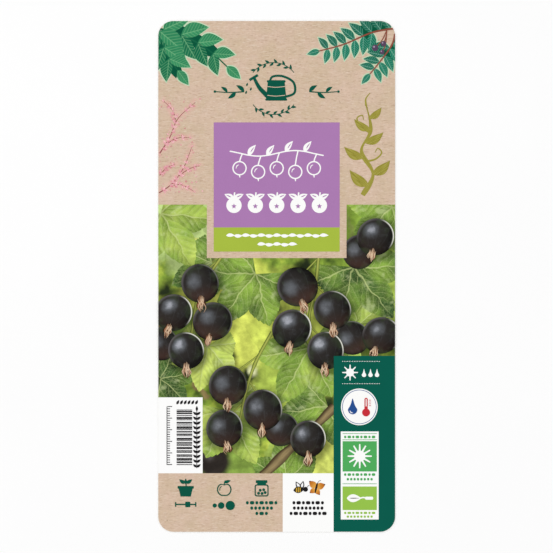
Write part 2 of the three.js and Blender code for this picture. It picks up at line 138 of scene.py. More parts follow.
scene = bpy.context.scene
scene.view_settings.view_transform = "Standard"
scene.view_settings.look = "None"
for turn, power in LAMP_POWERS.items():
    angle = math.radians(turn)
    place = (LAMP_DISTANCE * math.cos(angle), LAMP_DISTANCE * math.sin(angle), LAMP_HEIGHT)
    lean = math.atan2(LAMP_DISTANCE, LAMP_HEIGHT)
    bpy.ops.object.light_add(type="AREA", location=place, rotation=(lean, 0, angle + math.pi / 2))
    lamp = bpy.context.object
    lamp.name = f"lamp_{turn}"
    lamp.data.size = LAMP_SIZE
    lamp.data.energy = power
room = bpy.data.worlds.new("pale_room")
scene.world = room
room.use_nodes = True
background = room.node_tree.nodes["Background"]
background.inputs["Color"].default_value = (1.0, 1.0, 1.0, 1.0)
background.inputs["Strength"].default_value = ROOM_LIGHT
print("lamps", len(LAMP_POWERS))

# %% [markdown]
# A material is a sheet of nodes. Its sums are easier to read as Python, so a small class wraps an
# output of a node, and an operator on it adds a Math node. A wire can also carry a colour, which fades,
# mixes and scales through nodes of their own. A second class holds one finish, and its node method adds
# any other node.

# %% Sums on node outputs
class Wire:
    """An output of a node. Sums written with it add Math nodes."""

    def __init__(self, finish, socket):
        self.finish = finish
        self.socket = socket

    def other(self, name):
        """Another output of the same node."""
        return Wire(self.finish, self.socket.node.outputs[name])

    def maths(self, operation, value=0.0, swapped=False):
        first, second = (value, self) if swapped else (self, value)
        return self.finish.node("ShaderNodeMath", {"operation": operation}, {0: first, 1: second})

    __add__ = partialmethod(maths, "ADD")
    __radd__ = partialmethod(maths, "ADD")
    __sub__ = partialmethod(maths, "SUBTRACT")
    __rsub__ = partialmethod(maths, "SUBTRACT", swapped=True)
    __mul__ = partialmethod(maths, "MULTIPLY")
    __rmul__ = partialmethod(maths, "MULTIPLY")
    __truediv__ = partialmethod(maths, "DIVIDE")
    __rtruediv__ = partialmethod(maths, "DIVIDE", swapped=True)
    __pow__ = partialmethod(maths, "POWER")
    least = partialmethod(maths, "MINIMUM")
    most = partialmethod(maths, "MAXIMUM")
    size = partialmethod(maths, "ABSOLUTE")
    whole = partialmethod(maths, "ROUND")
    part = partialmethod(maths, "FRACT")
    sine = partialmethod(maths, "SINE")
    cosine = partialmethod(maths, "COSINE")
    angle_over = partialmethod(maths, "ARCTAN2")

    def fade(self, start, end):
        """Rises smoothly from 0 at start to 1 at end, which may lie below start."""
        values = {"Value": self, "From Min": start, "From Max": end}
        return self.finish.node("ShaderNodeMapRange", {"interpolation_type": "SMOOTHSTEP"}, values)

    def toward(self, colour, share):
        """This colour, with a share of another one in its place."""
        return self.finish.mix(share, self, colour)

    def scaled(self, factor):
        """This colour or vector times a number."""
        return self.finish.scaled(self, factor)


print("on a wire:", ", ".join(name for name in vars(Wire) if not name.startswith("_")))

# %% A finish
INK_GLOSS = 0.06
SHIFT_UP = 1.7


class Finish:
    """One material. The slot of the record that it is given is kept but not used. Its place is the object's
    own coordinates, in mm.
    """

    def __init__(self, name, roughness, slot=None, gloss=INK_GLOSS):
        self.slot = slot
        self.material = bpy.data.materials.new(name)
        self.material.use_nodes = True
        self.tree = self.material.node_tree
        self.shader = self.tree.nodes["Principled BSDF"]
        self.shader.inputs["Roughness"].default_value = roughness
        self.shader.inputs["Specular IOR Level"].default_value = gloss
        here = self.node("ShaderNodeTexCoord", {}, {}, "Object")
        self.place = here.scaled(METRE)
        self.x = self.node("ShaderNodeSeparateXYZ", {}, {0: self.place})
        self.y = self.x.other("Y")
        self.z = self.x.other("Z")

    def node(self, kind, settings, values, output=0):
        """Adds a node: its settings are set first, and then the values or links of its sockets."""
        node = self.tree.nodes.new(kind)
        for key, setting in settings.items():
            if key == "stops":
                self.set_stops(node.color_ramp, setting)
            else:
                setattr(node, key, setting)
        for key, value in values.items():
            socket = node.inputs[key]
            if isinstance(value, Wire):
                self.tree.links.new(value.socket, socket)
            elif isinstance(value, tuple):
                socket.default_value = value[: len(socket.default_value)]
            else:
                socket.default_value = value
        return Wire(self, node.outputs[output])

    def set_stops(self, ramp, stops):
        while len(ramp.elements) < len(stops):
            ramp.elements.new(1.0)
        for element, (position, colour) in zip(ramp.elements, stops):
            element.position = position
            element.color = colour

    def scaled(self, vector, factor):
        """A vector or colour times a number."""
        return self.node("ShaderNodeVectorMath", {"operation": "SCALE"}, {0: vector, "Scale": factor})

    def mix(self, share, first, second):
        """The first colour, with a share of the second in its place."""
        return self.node("ShaderNodeMix", {"data_type": "RGBA"}, {0: share, 6: first, 7: second}, 2)

    def stretched(self, size, stretch=(1.0, 1.0), turn=0.0, shift=0.0):
        """The place, turned and scaled so that a pattern's grain is size mm, or longer along stretch."""
        values = {"Vector": self.place, "Location": (shift, shift * SHIFT_UP, shift)}
        values["Rotation"] = (0.0, 0.0, math.radians(turn))
        values["Scale"] = (1 / (size * stretch[0]), 1 / (size * stretch[1]), 1 / size)
        return self.node("ShaderNodeMapping", {"vector_type": "POINT"}, values)

    def noise_on(self, place, detail, rough=0.5):
        """Smooth noise round 0.5 with a grain of 1 on the place that is given."""
        values = {"Vector": place, "Scale": 1.0, "Detail": detail, "Roughness": rough}
        return self.node("ShaderNodeTexNoise", {}, values)

    def noise(self, size, detail=3.0, rough=0.5, **where):
        """Smooth noise round 0.5 with a grain of size mm."""
        return self.noise_on(self.stretched(size, **where), detail, rough)

    def streaks(self, along, across, detail):
        """Noise on a stroke's own coordinates, so that it runs along the stroke."""
        return self.noise_on(self.node("ShaderNodeCombineXYZ", {}, {0: along, 1: across}), detail)

    def cells(self, size, feature="F1", **where):
        """The distance to the nearest of a scatter of points, about size mm apart."""
        values = {"Vector": self.stretched(size, **where), "Scale": 1.0}
        return self.node("ShaderNodeTexVoronoi", {"feature": feature}, values)

    def own(self):
        """A piece's own coordinates along and across it, from its map."""
        here = self.node("ShaderNodeUVMap", {"uv_map": "own"}, {})
        along = self.node("ShaderNodeSeparateXYZ", {}, {0: here})
        return along, along.other("Y")

    def tone(self):
        """A number from 0 to 1 that each copy of a piece carries."""
        return self.node("ShaderNodeAttribute", {"attribute_name": "tone"}, {}, "Fac")

    def colour(self, value):
        """Links the base colour, which is the last of a finish's sums."""
        self.tree.links.new(value.socket, self.shader.inputs["Base Color"])
        print("finish", self.material.name, "has", len(self.tree.nodes), "nodes")
        return self

    def bump(self, height, strength, distance):
        values = {"Height": height, "Strength": strength, "Distance": distance * MM}
        raised = self.node("ShaderNodeBump", {}, values)
        self.tree.links.new(raised.socket, self.shader.inputs["Normal"])
        return self


print("a finish can draw", ", ".join(name for name in vars(Finish) if not name.startswith("_")))

# %% Colours
def linear(value):
    """A screen value from 0 to 255 as the share of light that it stands for."""
    share = value / 255
    return share / 12.92 if share <= 0.04045 else ((share + 0.055) / 1.055) ** 2.4


def tint(red, green, blue):
    """A colour from the three values that a colour picker shows."""
    return (linear(red), linear(green), linear(blue), 1.0)


print("a middle grey is", round(linear(128), 3), "of the light")

# %% [markdown]
# Most pieces are flat figures. Their outlines are short formulas: a disc, a box, a stroke along a smooth
# curve, a pointed leaf. Every outline is a list of points that runs once round the figure, so a formula
# gives as many points as its curve needs, and any two figures can be laid one over the other.

# %% Discs and boxes
def around(x, y, reach, degrees):
    """The point that lies reach away from x, y in a direction."""
    angle = math.radians(degrees)
    return x + reach * math.cos(angle), y + reach * math.sin(angle)


def disc_loop(x, y, radius, steps=48):
    return [around(x, y, radius, 360 * i / steps) for i in range(steps)]


def box_loop(left, bottom, right, top):
    return [(left, bottom), (right, bottom), (right, top), (left, top)]


def rounded_loop(left, bottom, right, top, radius, steps=5):
    """A box whose four corners are arcs."""
    loop = []
    corners = [(right, top, 0), (left, top, 90), (left, bottom, 180), (right, bottom, 270)]
    for x, y, start in corners:
        centre_x = x - math.copysign(radius, x - (left + right) / 2)
        centre_y = y - math.copysign(radius, y - (bottom + top) / 2)
        loop += [around(centre_x, centre_y, radius, start + 90 * i / steps) for i in range(steps + 1)]
    return loop


def placed(x, y, outlines):
    """A figure that is drawn round 0, 0, moved to its place."""
    return [[[(x + dx, y + dy) for dx, dy in loop] for loop in loops] for loops in outlines]


print("a rounded box has", len(rounded_loop(0, 0, 2, 1, 0.2)), "points")

# %% Strokes and leaves
CURVE_END = 0.999999
HEADING_STEP = 0.01
LEAST_HALF = 0.02
SWELL_END = 0.7
TAPER_START = 0.55


def on_curve(places, t):
    """The point at t, from 0 to 1, on the smooth curve through the places."""
    spans = len(places) - 1
    where = min(max(t, 0.0), CURVE_END) * spans
    i = int(where)
    w = where - i
    p0, p1, p2, p3 = places[max(i - 1, 0)], places[i], places[i + 1], places[min(i + 2, spans)]
    found = []
    for k in range(2):
        out, into = (p2[k] - p0[k]) / 2, (p3[k] - p1[k]) / 2
        cubic = 2 * p1[k] - 2 * p2[k] + out + into
        square = 3 * p2[k] - 3 * p1[k] - 2 * out - into
        found.append(cubic * w**3 + square * w**2 + out * w + p1[k])
    return found[0], found[1]


def heading_at(places, t):
    """The direction of that curve at t, in degrees."""
    near, far = on_curve(places, t - HEADING_STEP), on_curve(places, t + HEADING_STEP)
    return math.degrees(math.atan2(far[1] - near[1], far[0] - near[0]))


def stroke_loop(places, width_at, steps=24):
    """A line along a curve. width_at gives its width at t."""
    upper, lower = [], []
    for i in range(steps + 1):
        t = i / steps
        x, y = on_curve(places, t)
        half = max(width_at(t) / 2, LEAST_HALF)
        aside = heading_at(places, t) + 90
        upper.append(around(x, y, half, aside))
        lower.append(around(x, y, -half, aside))
    return lower + upper[::-1]


def even(width, end_width=None):
    """A stroke's width that goes evenly from one value to another."""
    last = width if end_width is None else end_width
    return lambda t: width + (last - width) * t


def brush(width, start, end):
    """A stroke's width as under a brush: it swells from a share of its width and tapers to another."""

    def width_at(t):
        swell = start + (1 - start) * math.sin(math.pi * min(t / SWELL_END, 1) / 2)
        taper = 1 - (1 - end) * max((t - TAPER_START) / (1 - TAPER_START), 0) ** 1.6
        return width * swell * taper

    return width_at


def blade_loop(x, y, degrees, length, width, bend=0.0, steps=18):
    """A pointed leaf from x, y. It is widest before its middle, and bend curves it to one side."""
    upper, lower = [], []
    cos, sin = around(0, 0, 1, degrees)
    for i in range(steps + 1):
        t = i / steps
        along = length * t
        half = width / 2 * math.sin(math.pi * t**0.8) if 0 < i < steps else 0.0
        side = bend * length * t * (1 - t) * 4
        for chain, across in ((upper, side + half), (lower, side - half)):
            chain.append((x + along * cos - across * sin, y + along * sin + across * cos))
    return lower + upper[-2:0:-1]


print("a leaf has", len(blade_loop(0, 0, 0, 10, 4)), "points")

# %% [markdown]
# An outline is drawn as a flat filled curve, as with a pen tool, because a curve fills any outline
# cleanly. It is then made a mesh with the thickness of a film. Films that overlap at one height would
# show as flicker, so a figure's films are fused with a boolean modifier, or each gets its own height.

# %% From an outline to a film
MERGE_GAP = 0.002


def alone(piece):
    """Makes a piece the only one selected, and the active one."""
    bpy.ops.object.select_all(action="DESELECT")
    piece.select_set(True)
    bpy.context.view_layer.objects.active = piece


def cut_film(name, loops, top, foot=FILM_FOOT):
    """A closed film from flat outlines, between two heights. An outline inside another is a hole."""
    curve = bpy.data.curves.new(name, "CURVE")
    curve.dimensions = "2D"
    curve.fill_mode = "BOTH"
    curve.extrude = (top - foot) / 2
    for loop in loops:
        spline = curve.splines.new("POLY")
        spline.points.add(len(loop) - 1)
        for point, (x, y) in zip(spline.points, loop):
            point.co = (x, y, 0.0, 1.0)
        spline.use_cyclic_u = True
    piece = bpy.data.objects.new(name, curve)
    scene.collection.objects.link(piece)
    piece.location.z = (top + foot) / 2
    alone(piece)
    bpy.ops.object.convert(target="MESH")
    bpy.ops.object.transform_apply(location=True, rotation=False, scale=False)
    bpy.ops.object.mode_set(mode="EDIT")
    bpy.ops.mesh.select_all(action="SELECT")
    bpy.ops.mesh.remove_doubles(threshold=MERGE_GAP)
    bpy.ops.mesh.normals_make_consistent(inside=False)
    bpy.ops.object.mode_set(mode="OBJECT")
    return piece


def combine(piece, others, operation="UNION"):
    """Joins other closed pieces to a piece, or cuts it with them, and removes them."""
    for other in others:
        alone(piece)
        modifier = piece.modifiers.new("combine", "BOOLEAN")
        modifier.operation = operation
        modifier.solver = "MANIFOLD"
        modifier.object = other
        bpy.ops.object.modifier_apply(modifier=modifier.name)
        bpy.data.objects.remove(other)
    return piece


def trimmed(piece, outline):
    """The piece with what lies beyond an outline cut off."""
    cutter = cut_film("cutter", [outline], 2 * THIRD_TOP, -THIRD_TOP)
    return combine(piece, [cutter], "INTERSECT")


def fused_film(name, outlines, top, foot=FILM_FOOT):
    """One film from several outlines that overlap."""
    films = [cut_film(name, loops, top, foot) for loops in outlines]
    return combine(films[0], films[1:])


print("films stand on the height", round(FILM_FOOT, 2))

# %% [markdown]
# A vein or a highlight follows its own leaf or berry, so such a piece carries a map of its own
# coordinates, along and across it, and a number that sets its tone apart from its neighbours'. At the
# end each piece is scaled down to metres, gets its finish, and is seated in the frame.

# %% Own coordinates, and a seat in the frame
def toned(piece, tone):
    """Gives every point of a piece its tone."""
    attributes = piece.data.attributes
    tones = attributes.get("tone") or attributes.new("tone", "FLOAT", "POINT")
    tones.data.foreach_set("value", [tone] * len(piece.data.vertices))
    return piece


def mapped(piece, own_at, tone=0.5):
    """Gives a piece its own coordinates, as own_at works them out from x and y, and its tone."""
    mesh = piece.data
    layer = mesh.uv_layers.new(name="own")
    for corner in mesh.loops:
        spot = mesh.vertices[corner.vertex_index].co
        layer.data[corner.index].uv = own_at(spot.x, spot.y)
    return toned(piece, tone)


def local_frame(x, y, degrees, size):
    """Coordinates along and across a figure that starts at x, y and is size long."""
    cos, sin = around(0, 0, 1, degrees)

    def own_at(px, py):
        dx, dy = px - x, py - y
        return (dx * cos + dy * sin) / size, (dy * cos - dx * sin) / size

    return own_at


def joined(name, pieces):
    """Several films as one piece."""
    alone(pieces[0])
    for piece in pieces:
        piece.select_set(True)
    if len(pieces) > 1:
        bpy.ops.object.join()
    pieces[0].name = name
    pieces[0].data.name = name
    return pieces[0]


def settle(piece, finish, *nodes):
    """Scales a finished piece down to metres, gives it its finish, and seats it in the frame."""
    alone(piece)
    piece.scale = (MM, MM, MM)
    bpy.ops.object.transform_apply(location=True, rotation=True, scale=True)
    piece.data.materials.clear()
    piece.data.materials.append(finish.material)
    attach(piece, "root")
    if nodes:
        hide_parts(*nodes)
    print(piece.name, len(piece.data.polygons), "faces")


def stamp(name, outlines, finish, *nodes, top=FIRST_TOP, foot=FILM_FOOT):
    """Prints a figure: its outlines are fused to one film, which is settled with its ink."""
    settle(fused_film(name, outlines, top, foot), finish, *nodes)


def repaint(node, finish):
    """Gives a node of the frame a better finish."""
    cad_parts[node].material_slots[0].material = finish.material
    print("repainted", node)


print("a piece is scaled by", MM, "when it is settled")

# %% [markdown]
# The sheet under the label is white and smooth, like the table of a copy stand. It isn't part of the
# object, so it is marked as stage.

# %% Floor
floor_finish = Finish("white_table", 0.9, gloss=0.1)
floor_finish.colour(floor_finish.mix(floor_finish.noise(90.0), tint(252, 252, 252), tint(255, 255, 255)))
bpy.ops.mesh.primitive_plane_add(size=8.0, location=(0, 0, 0))
floor = bpy.context.object
floor.name = "table"
floor.data.materials.append(floor_finish.material)
floor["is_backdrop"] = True

# %% [markdown]
# The board is a sheet of label card, cut by a die. A die leaves a straight edge that is crushed a
# little where it went in and torn a little where it came out, so both rims are rounded. The card has a
# white core and a plain back. It starts as a box, its four upright edges are bevelled to the corner
# radius, and then its rims get a fine bevel.

# %% Board
RIM = 0.07
CORNER_SEGMENTS = 16
LEVEL = 0.01

board_finish = Finish("card_board", 0.8, "board", gloss=0.2)
pulp = board_finish.noise(0.9, 4.0, stretch=(3.0, 1.0), turn=20)
layers = (board_finish.z * 60).sine() * 0.5 + 0.5
pulp_colour = board_finish.mix(pulp, tint(238, 235, 227), tint(250, 248, 243))
board_finish.colour(pulp_colour.toward(tint(226, 221, 208), layers * 0.5)).bump(pulp, 0.25, 0.05)


def runs_up(first, second):
    """Whether an edge between two points stands upright."""
    return abs(first.z - second.z) > abs(first.x - second.x) + abs(first.y - second.y)


def lies_level(first, second):
    return abs(first.z - second.z) < LEVEL


def bevel_edges(piece, choose, offset, segments):
    """Bevels the edges that choose picks by their two ends."""
    alone(piece)
    bpy.ops.object.mode_set(mode="EDIT")
    bpy.ops.mesh.select_mode(type="EDGE")
    bpy.ops.mesh.select_all(action="DESELECT")
    bpy.ops.object.mode_set(mode="OBJECT")
    for edge in piece.data.edges:
        edge.select = choose(*(piece.data.vertices[i].co for i in edge.vertices))
    bpy.ops.object.mode_set(mode="EDIT")
    bpy.ops.mesh.bevel(offset=offset, segments=segments)
    bpy.ops.object.mode_set(mode="OBJECT")


bpy.ops.mesh.primitive_cube_add(size=1.0, location=(0, 0, CARD_TOP / 2))
board = bpy.context.object
board.name = "board"
board.scale = (RIGHT - LEFT, TOP - BOTTOM, CARD_TOP)
bpy.ops.object.transform_apply(location=True, rotation=False, scale=True)
bevel_edges(board, runs_up, CORNER_RADIUS, CORNER_SEGMENTS)
bevel_edges(board, lies_level, RIM, 2)
settle(board, board_finish, "card")

# %% [markdown]
# The header and the footer look like kraft paper: a warm light brown with a slow mottle that drifts
# between pink and straw, a faint laid texture both ways, short hairs of darker and paler fibre that lie
# in all directions, and a few dark specks. Each of these is a noise of its own grain, and the hairs are
# noises stretched along a turned axis. Beside the pink flower stalks a wash has soaked into the paper,
# so the finish has to know how far each place is from a stalk.

# %% Distance to the pink stalks
PINK_STALKS = {
    "upper": [
        [(-50.4, 53), (-46, 60), (-42.5, 68), (-35, 75)],
        [(-47.6, 57), (-43, 59.5), (-37.5, 59.8)],
        [(-43.4, 66), (-44.6, 71), (-48.6, 75.5)],
    ],
    "lower": [
        [(-50.6, 36), (-45, 40), (-40, 47), (-36.5, 56)],
        [(-46.2, 39), (-41, 39.4), (-35.6, 36.6)],
        [(-42.6, 43), (-37.5, 46.4), (-33.2, 47.6)],
        [(-50.4, 43.5), (-47.6, 46.6), (-43.8, 48.4)],
    ],
}
WASH_SPANS = 3


def line_gap(place, start, end):
    """The distance from each place to a straight line between two points."""
    length = math.hypot(end[0] - start[0], end[1] - start[1])
    ax, ay = (end[0] - start[0]) / length, (end[1] - start[1]) / length
    dx, dy = place[0] - start[0], place[1] - start[1]
    along = (dx * ax + dy * ay).least(length).most(0.0)
    return ((dx - along * ax) ** 2.0 + (dy - along * ay) ** 2.0) ** 0.5


WASH_LINES = []
for curves in PINK_STALKS.values():
    for places in curves:
        spots = [on_curve(places, i / WASH_SPANS) for i in range(WASH_SPANS + 1)]
        WASH_LINES += zip(spots, spots[1:])
print("the wash follows", len(WASH_LINES), "lines")

# %% Kraft paper
KRAFT = tint(211, 186, 163)
KRAFT_PINK = tint(219, 191, 172)
KRAFT_STRAW = tint(206, 184, 154)
HAIR = tint(170, 140, 114)
PALE_HAIR = tint(232, 215, 199)
SPECK = tint(128, 100, 78)
PINK_WASH = tint(232, 172, 168)
WASH_REACH = 2.7

kraft = Finish("kraft_paper", 0.82, "kraft_print")
mottle = kraft.noise(11.0, 4.0, 0.6)
paper = kraft.mix(mottle.fade(0.3, 0.7), KRAFT_STRAW, KRAFT_PINK).toward(KRAFT, 0.4)
laid_across = kraft.noise(0.8, 2.0, stretch=(3.6, 1.0))
laid_up = kraft.noise(0.8, 2.0, stretch=(1.0, 4.2), shift=3.0)
paper = paper.scaled(laid_across * 0.13 + laid_up * 0.13 + 0.855)
for turn, shift, colour in ((12, 0.0, HAIR), (63, 5.0, PALE_HAIR), (108, 9.0, HAIR), (152, 14.0, PALE_HAIR)):
    hair = kraft.noise(0.32, 1.0, 0.4, stretch=(6.0, 1.0), turn=turn, shift=shift)
    paper = paper.toward(colour, hair.fade(0.62, 0.72) * 0.4)
wash = reduce(Wire.most, [line_gap((kraft.x, kraft.y), *ends).fade(WASH_REACH, 0.0) for ends in WASH_LINES])
soaked = kraft.noise(1.7, 3.0, 0.6, shift=17.0).fade(0.36, 0.62)
paper = paper.toward(PINK_WASH, wash * soaked * 0.6)
chosen = kraft.noise(5.0, 1.0, shift=11.0).fade(0.52, 0.6)
paper = paper.toward(SPECK, kraft.cells(3.4, shift=7.0).fade(0.10, 0.05) * chosen * 0.6)
grain = kraft.noise(0.28, 2.0, 0.6, shift=21.0)
kraft.colour(paper.scaled(grain * 0.16 + 0.925)).bump(laid_across + grain, 0.15, 0.03)
for node in ("header_ground", "footer_ground"):
    repaint(node, kraft)

# %% [markdown]
# The other grounds are flat inks on white. Ink is never quite even: it has a slow mottle where the
# board drank more of it, and a fine grain. One function makes all of them, from one colour and from how
# strong the mottle and the grain are.

# %% Inks
SLOW_MOTTLE = 9.0
INK_GRAIN = 0.35


def ink(name, colour, mottling, grain, slot=None, roughness=0.5):
    """An even ink with a slow mottle and a fine grain."""
    finish = Finish(name, roughness, slot)
    slow = finish.noise(SLOW_MOTTLE)
    fine = finish.noise(INK_GRAIN, 2.0, 0.6, shift=4.0)
    level = (slow - 0.5) * 2 * mottling + (fine - 0.5) * 2 * grain + 1.0
    return finish.colour(finish.scaled(colour, level)).bump(fine, 0.1, 0.02)


paper_white = ink("paper_white", tint(253, 253, 252), 0.01, 0.01, roughness=0.6)
purple_ink = ink("purple_ink", tint(171, 123, 177), 0.035, 0.05)
lime_ink = ink("lime_ink", tint(167, 188, 66), 0.035, 0.05)
bottle_ink = ink("bottle_green_ink", tint(2, 90, 75), 0.06, 0.06)
white_ink = ink("white_ink", tint(252, 252, 250), 0.012, 0.012, "white_print", 0.55)
fine_green_ink = ink("fine_green_ink", tint(4, 84, 66), 0.10, 0.12, "dark_green_print")
black_ink = ink("black_ink", tint(28, 26, 28), 0.05, 0.10, "black_print")
plate_green_ink = ink("plate_green_ink", tint(80, 171, 92), 0.04, 0.05, "plate_green_print")
plate_lime_ink = ink("plate_lime_ink", tint(150, 194, 76), 0.04, 0.05, "plate_lime_print")
blue_ink = ink("blue_ink", tint(38, 78, 142), 0.05, 0.05, "blue_print")
red_ink = ink("red_ink", tint(200, 48, 58), 0.05, 0.05, "red_print")

for node, finish in {
    "code_ground": paper_white,
    "note_ground": paper_white,
    "side_ground": bottle_ink,
    "title_block": purple_ink,
    "title_strip": lime_ink,
    "plate": paper_white,
    "plate_upper_block": plate_green_ink,
    "plate_lower_block": plate_lime_ink,
}.items():
    repaint(node, finish)

# %% [markdown]
# The title block carries a truss of berries in a fine white line and, under it, a bold garland of
# five berries, each with a star at its end, a stalk and two leaves. The strip below has two rows of
# small white leaves. A fine line could be a curve with a bevel, but that would be a round wire. A flat
# outline of its own width prints as a crisp line, and it can be fused with the fruit that hangs on it.

# %% Truss
TRUSS_Y = 53.0
TRUSS_HALF = 20.0
TRUSS_LINE = 0.55
TRUSS_BERRY = 3.1
TRUSS_STEP = 8.0
BERRY_DROP = 6.4
LOWER_DROP = 1.6


def truss_height(x):
    return TRUSS_Y + 1.2 * math.sin(x / 5)


def ring_loops(x, y, radius, width, steps=48):
    return [disc_loop(x, y, radius, steps), disc_loop(x, y, radius - width, steps)]


truss_line = [(x, truss_height(x)) for x in (TRUSS_HALF * i / 5 for i in range(-5, 6))]
truss = [[stroke_loop(truss_line, even(TRUSS_LINE), 60)]]
truss += [[disc_loop(x, truss_height(x), TRUSS_LINE / 2, 16)] for x in (-TRUSS_HALF, TRUSS_HALF)]
for i in range(-2, 3):
    x = i * TRUSS_STEP
    berry_y = TRUSS_Y - BERRY_DROP - (abs(i) % 2) * LOWER_DROP
    head_y = truss_height(x + 1.2)
    foot_y = berry_y + TRUSS_BERRY - TRUSS_LINE / 2
    stalk = [(x + 1.2, head_y), (x + 0.5, (head_y + foot_y) / 2), (x, foot_y)]
    shine = [(x - 1.5, berry_y - 0.2), (x - 1.2, berry_y + 0.9), (x - 0.3, berry_y + 1.5)]
    tail = [(x, berry_y - TRUSS_BERRY + 0.2), (x + 0.15, berry_y - TRUSS_BERRY - 0.9)]
    truss += [
        [stroke_loop(stalk, even(TRUSS_LINE), 12)],
        ring_loops(x, berry_y, TRUSS_BERRY, TRUSS_LINE),
        [stroke_loop(shine, brush(0.42, 0.5, 0.4), 10)],
        [stroke_loop(tail, even(0.7, 0.35), 4)],
    ]
for i in (-1.5, -0.5, 0.5, 1.5):
    x = i * TRUSS_STEP
    leaf = blade_loop(x - 0.3, truss_height(x) - 0.3, 55, 5.8, 2.4, 0.06)
    vein = blade_loop(x + 0.75, truss_height(x) + 1.2, 55, 3.0, 0.42, 0.04)
    truss.append([leaf, vein])
stamp("title_truss_line", truss, white_ink, "title_truss", top=SECOND_TOP)

# %% Garland and leaf rows
GARLAND_Y = 30.6
GARLAND_STEP = 9.2
GARLAND_FRUIT = 3.3
STAR_REACHES = (1.2, 0.55)
LEAF_ROWS = {"strip_row_upper": (17.6, 13), "strip_row_lower": (13.8, 5)}
ROW_LEAF = 3.9
ROW_STEP = ROW_LEAF * 0.86

garland = []
for i in range(-2, 3):
    x = i * GARLAND_STEP
    head_y = GARLAND_Y + GARLAND_FRUIT - 0.3
    star = [around(x, GARLAND_Y - 0.4, STAR_REACHES[k % 2], 36 * k + 90) for k in range(10)]
    garland.append([disc_loop(x, GARLAND_Y, GARLAND_FRUIT), star])
    garland.append([stroke_loop([(x, head_y), (x + 0.3, head_y + 2.6)], even(0.75, 0.6), 6)])
    for heading in (24, 156):
        vein = blade_loop(*around(x, head_y, 1.3, heading), heading, 2.5, 0.45)
        garland.append([blade_loop(x, head_y, heading, 4.5, 2.3), vein])
stamp("title_garland_bold", garland, white_ink, "title_garland", top=SECOND_TOP)

for node, (y, count) in LEAF_ROWS.items():
    starts = [(i - count / 2) * ROW_STEP for i in range(count)]
    row = [[blade_loop(x, y, 0, ROW_LEAF, 1.5, 0.05 * (-1) ** i)] for i, x in enumerate(starts)]
    stamp(node + "_leaves", row, white_ink, node, top=SECOND_TOP)

# %% [markdown]
# Two outlines serve as cutters: the header with its tab, and the area that the header, the stripe
# panel, the footer and the side panel leave for the picture. They cut off whatever would stand over a
# panel's edge, as the die and the edge of a printing plate do.

# %% Panel outlines
CORNER_STEPS = 16
MARGIN = 0.05

header_outline = [
    (LEFT, HEADER_FOOT),
    (-TAB_HALF_WIDTH, HEADER_FOOT),
    (-TAB_HALF_WIDTH, TAB_FOOT),
    (TAB_HALF_WIDTH, TAB_FOOT),
    (TAB_HALF_WIDTH, HEADER_FOOT),
    (RIGHT, HEADER_FOOT),
]
for centre_x, start in ((RIGHT - CORNER_RADIUS, 0), (LEFT + CORNER_RADIUS, 90)):
    turns = [start + 90 * i / CORNER_STEPS for i in range(CORNER_STEPS + 1)]
    header_outline += [around(centre_x, TOP - CORNER_RADIUS, CORNER_RADIUS, turn) for turn in turns]
picture_outline = [
    (LEFT, CODE_HEAD),
    (CODE_RIGHT, CODE_HEAD),
    (CODE_RIGHT, FOOTER_HEAD),
    (SIDE_LEFT, FOOTER_HEAD),
    (SIDE_LEFT, SIDE_HEAD),
    (RIGHT, SIDE_HEAD),
    (RIGHT, HEADER_FOOT),
    (TAB_HALF_WIDTH, HEADER_FOOT),
    (TAB_HALF_WIDTH, TAB_FOOT),
    (-TAB_HALF_WIDTH, TAB_FOOT),
    (-TAB_HALF_WIDTH, HEADER_FOOT),
    (LEFT, HEADER_FOOT),
]


def within_card(loop):
    """Whether an outline keeps inside the card, its rounded corners included."""
    for x, y in loop:
        if abs(x) > RIGHT - MARGIN or abs(y) > TOP - MARGIN:
            return False
        dx, dy = abs(x) - (RIGHT - CORNER_RADIUS), abs(y) - (TOP - CORNER_RADIUS)
        if dx > 0 and dy > 0 and math.hypot(dx, dy) > CORNER_RADIUS - MARGIN:
            return False
    return True


def header_film(name, loop, top):
    """A film that ends at the header's edge."""
    film = cut_film(name, [loop], top)
    return film if within_card(loop) else trimmed(film, header_outline)


print("outlines of", len(header_outline), "and", len(picture_outline), "points")

# %% [markdown]
# The emblem is a watering can between two leafy rules, in the dark green of the side panel. Its body
# has a rim and a foot, its spout ends in a rose, and a few drops fall from it. Two arcs of small
# leaves stand over and under it like the halves of a wreath. A can seen from its side is a handful of
# plain shapes, so each is an outline of its own, and their union makes one clean figure.

# %% Emblem
CAN_Y = 80.6
CAN_HANDLE = [(3.2, -3.4), (7.6, -1.6), (7.2, 3.0), (2.6, 5.6), (-1.8, 5.4), (-3.0, 3.0)]
CAN_SPOUT = [(-3.6, -3.2), (-7.4, 0.6), (-9.8, 5.0)]
CAN_DROPS = ((-13.0, 1.4), (-11.4, -0.6), (-13.4, -2.0))

can = [
    [[(-4.6, -4.6), (4.2, -4.6), (3.4, 3.4), (-3.8, 3.4)]],
    [stroke_loop(CAN_SPOUT, even(2.2, 1.1), 16)],
    [[(-11.4, 3.5), (-7.8, 5.7), (-8.4, 6.6), (-12.0, 4.4)]],
    [stroke_loop(CAN_HANDLE, even(1.0, 0.9), 40)],
    [rounded_loop(-4.2, 2.9, 3.8, 3.9, 0.4)],
    [rounded_loop(-4.9, -4.9, 4.5, -4.0, 0.4)],
]
stamp("emblem_can_body", placed(0, CAN_Y, can), fine_green_ink, "emblem_can")
bands = [[stroke_loop([(-4.0, y), (-0.4, y - 0.35), (3.6, y)], even(0.3), 12) for y in (-2.6, 1.2)]]
stamp("emblem_can_bands", placed(0, CAN_Y, bands), kraft, top=FIRST_TOP + OVERPRINT, foot=FIRST_TOP)
drops = [[blade_loop(x, y, 70, 1.5, 0.75) for x, y in CAN_DROPS]]
stamp("emblem_drops", placed(0, CAN_Y, drops), fine_green_ink)

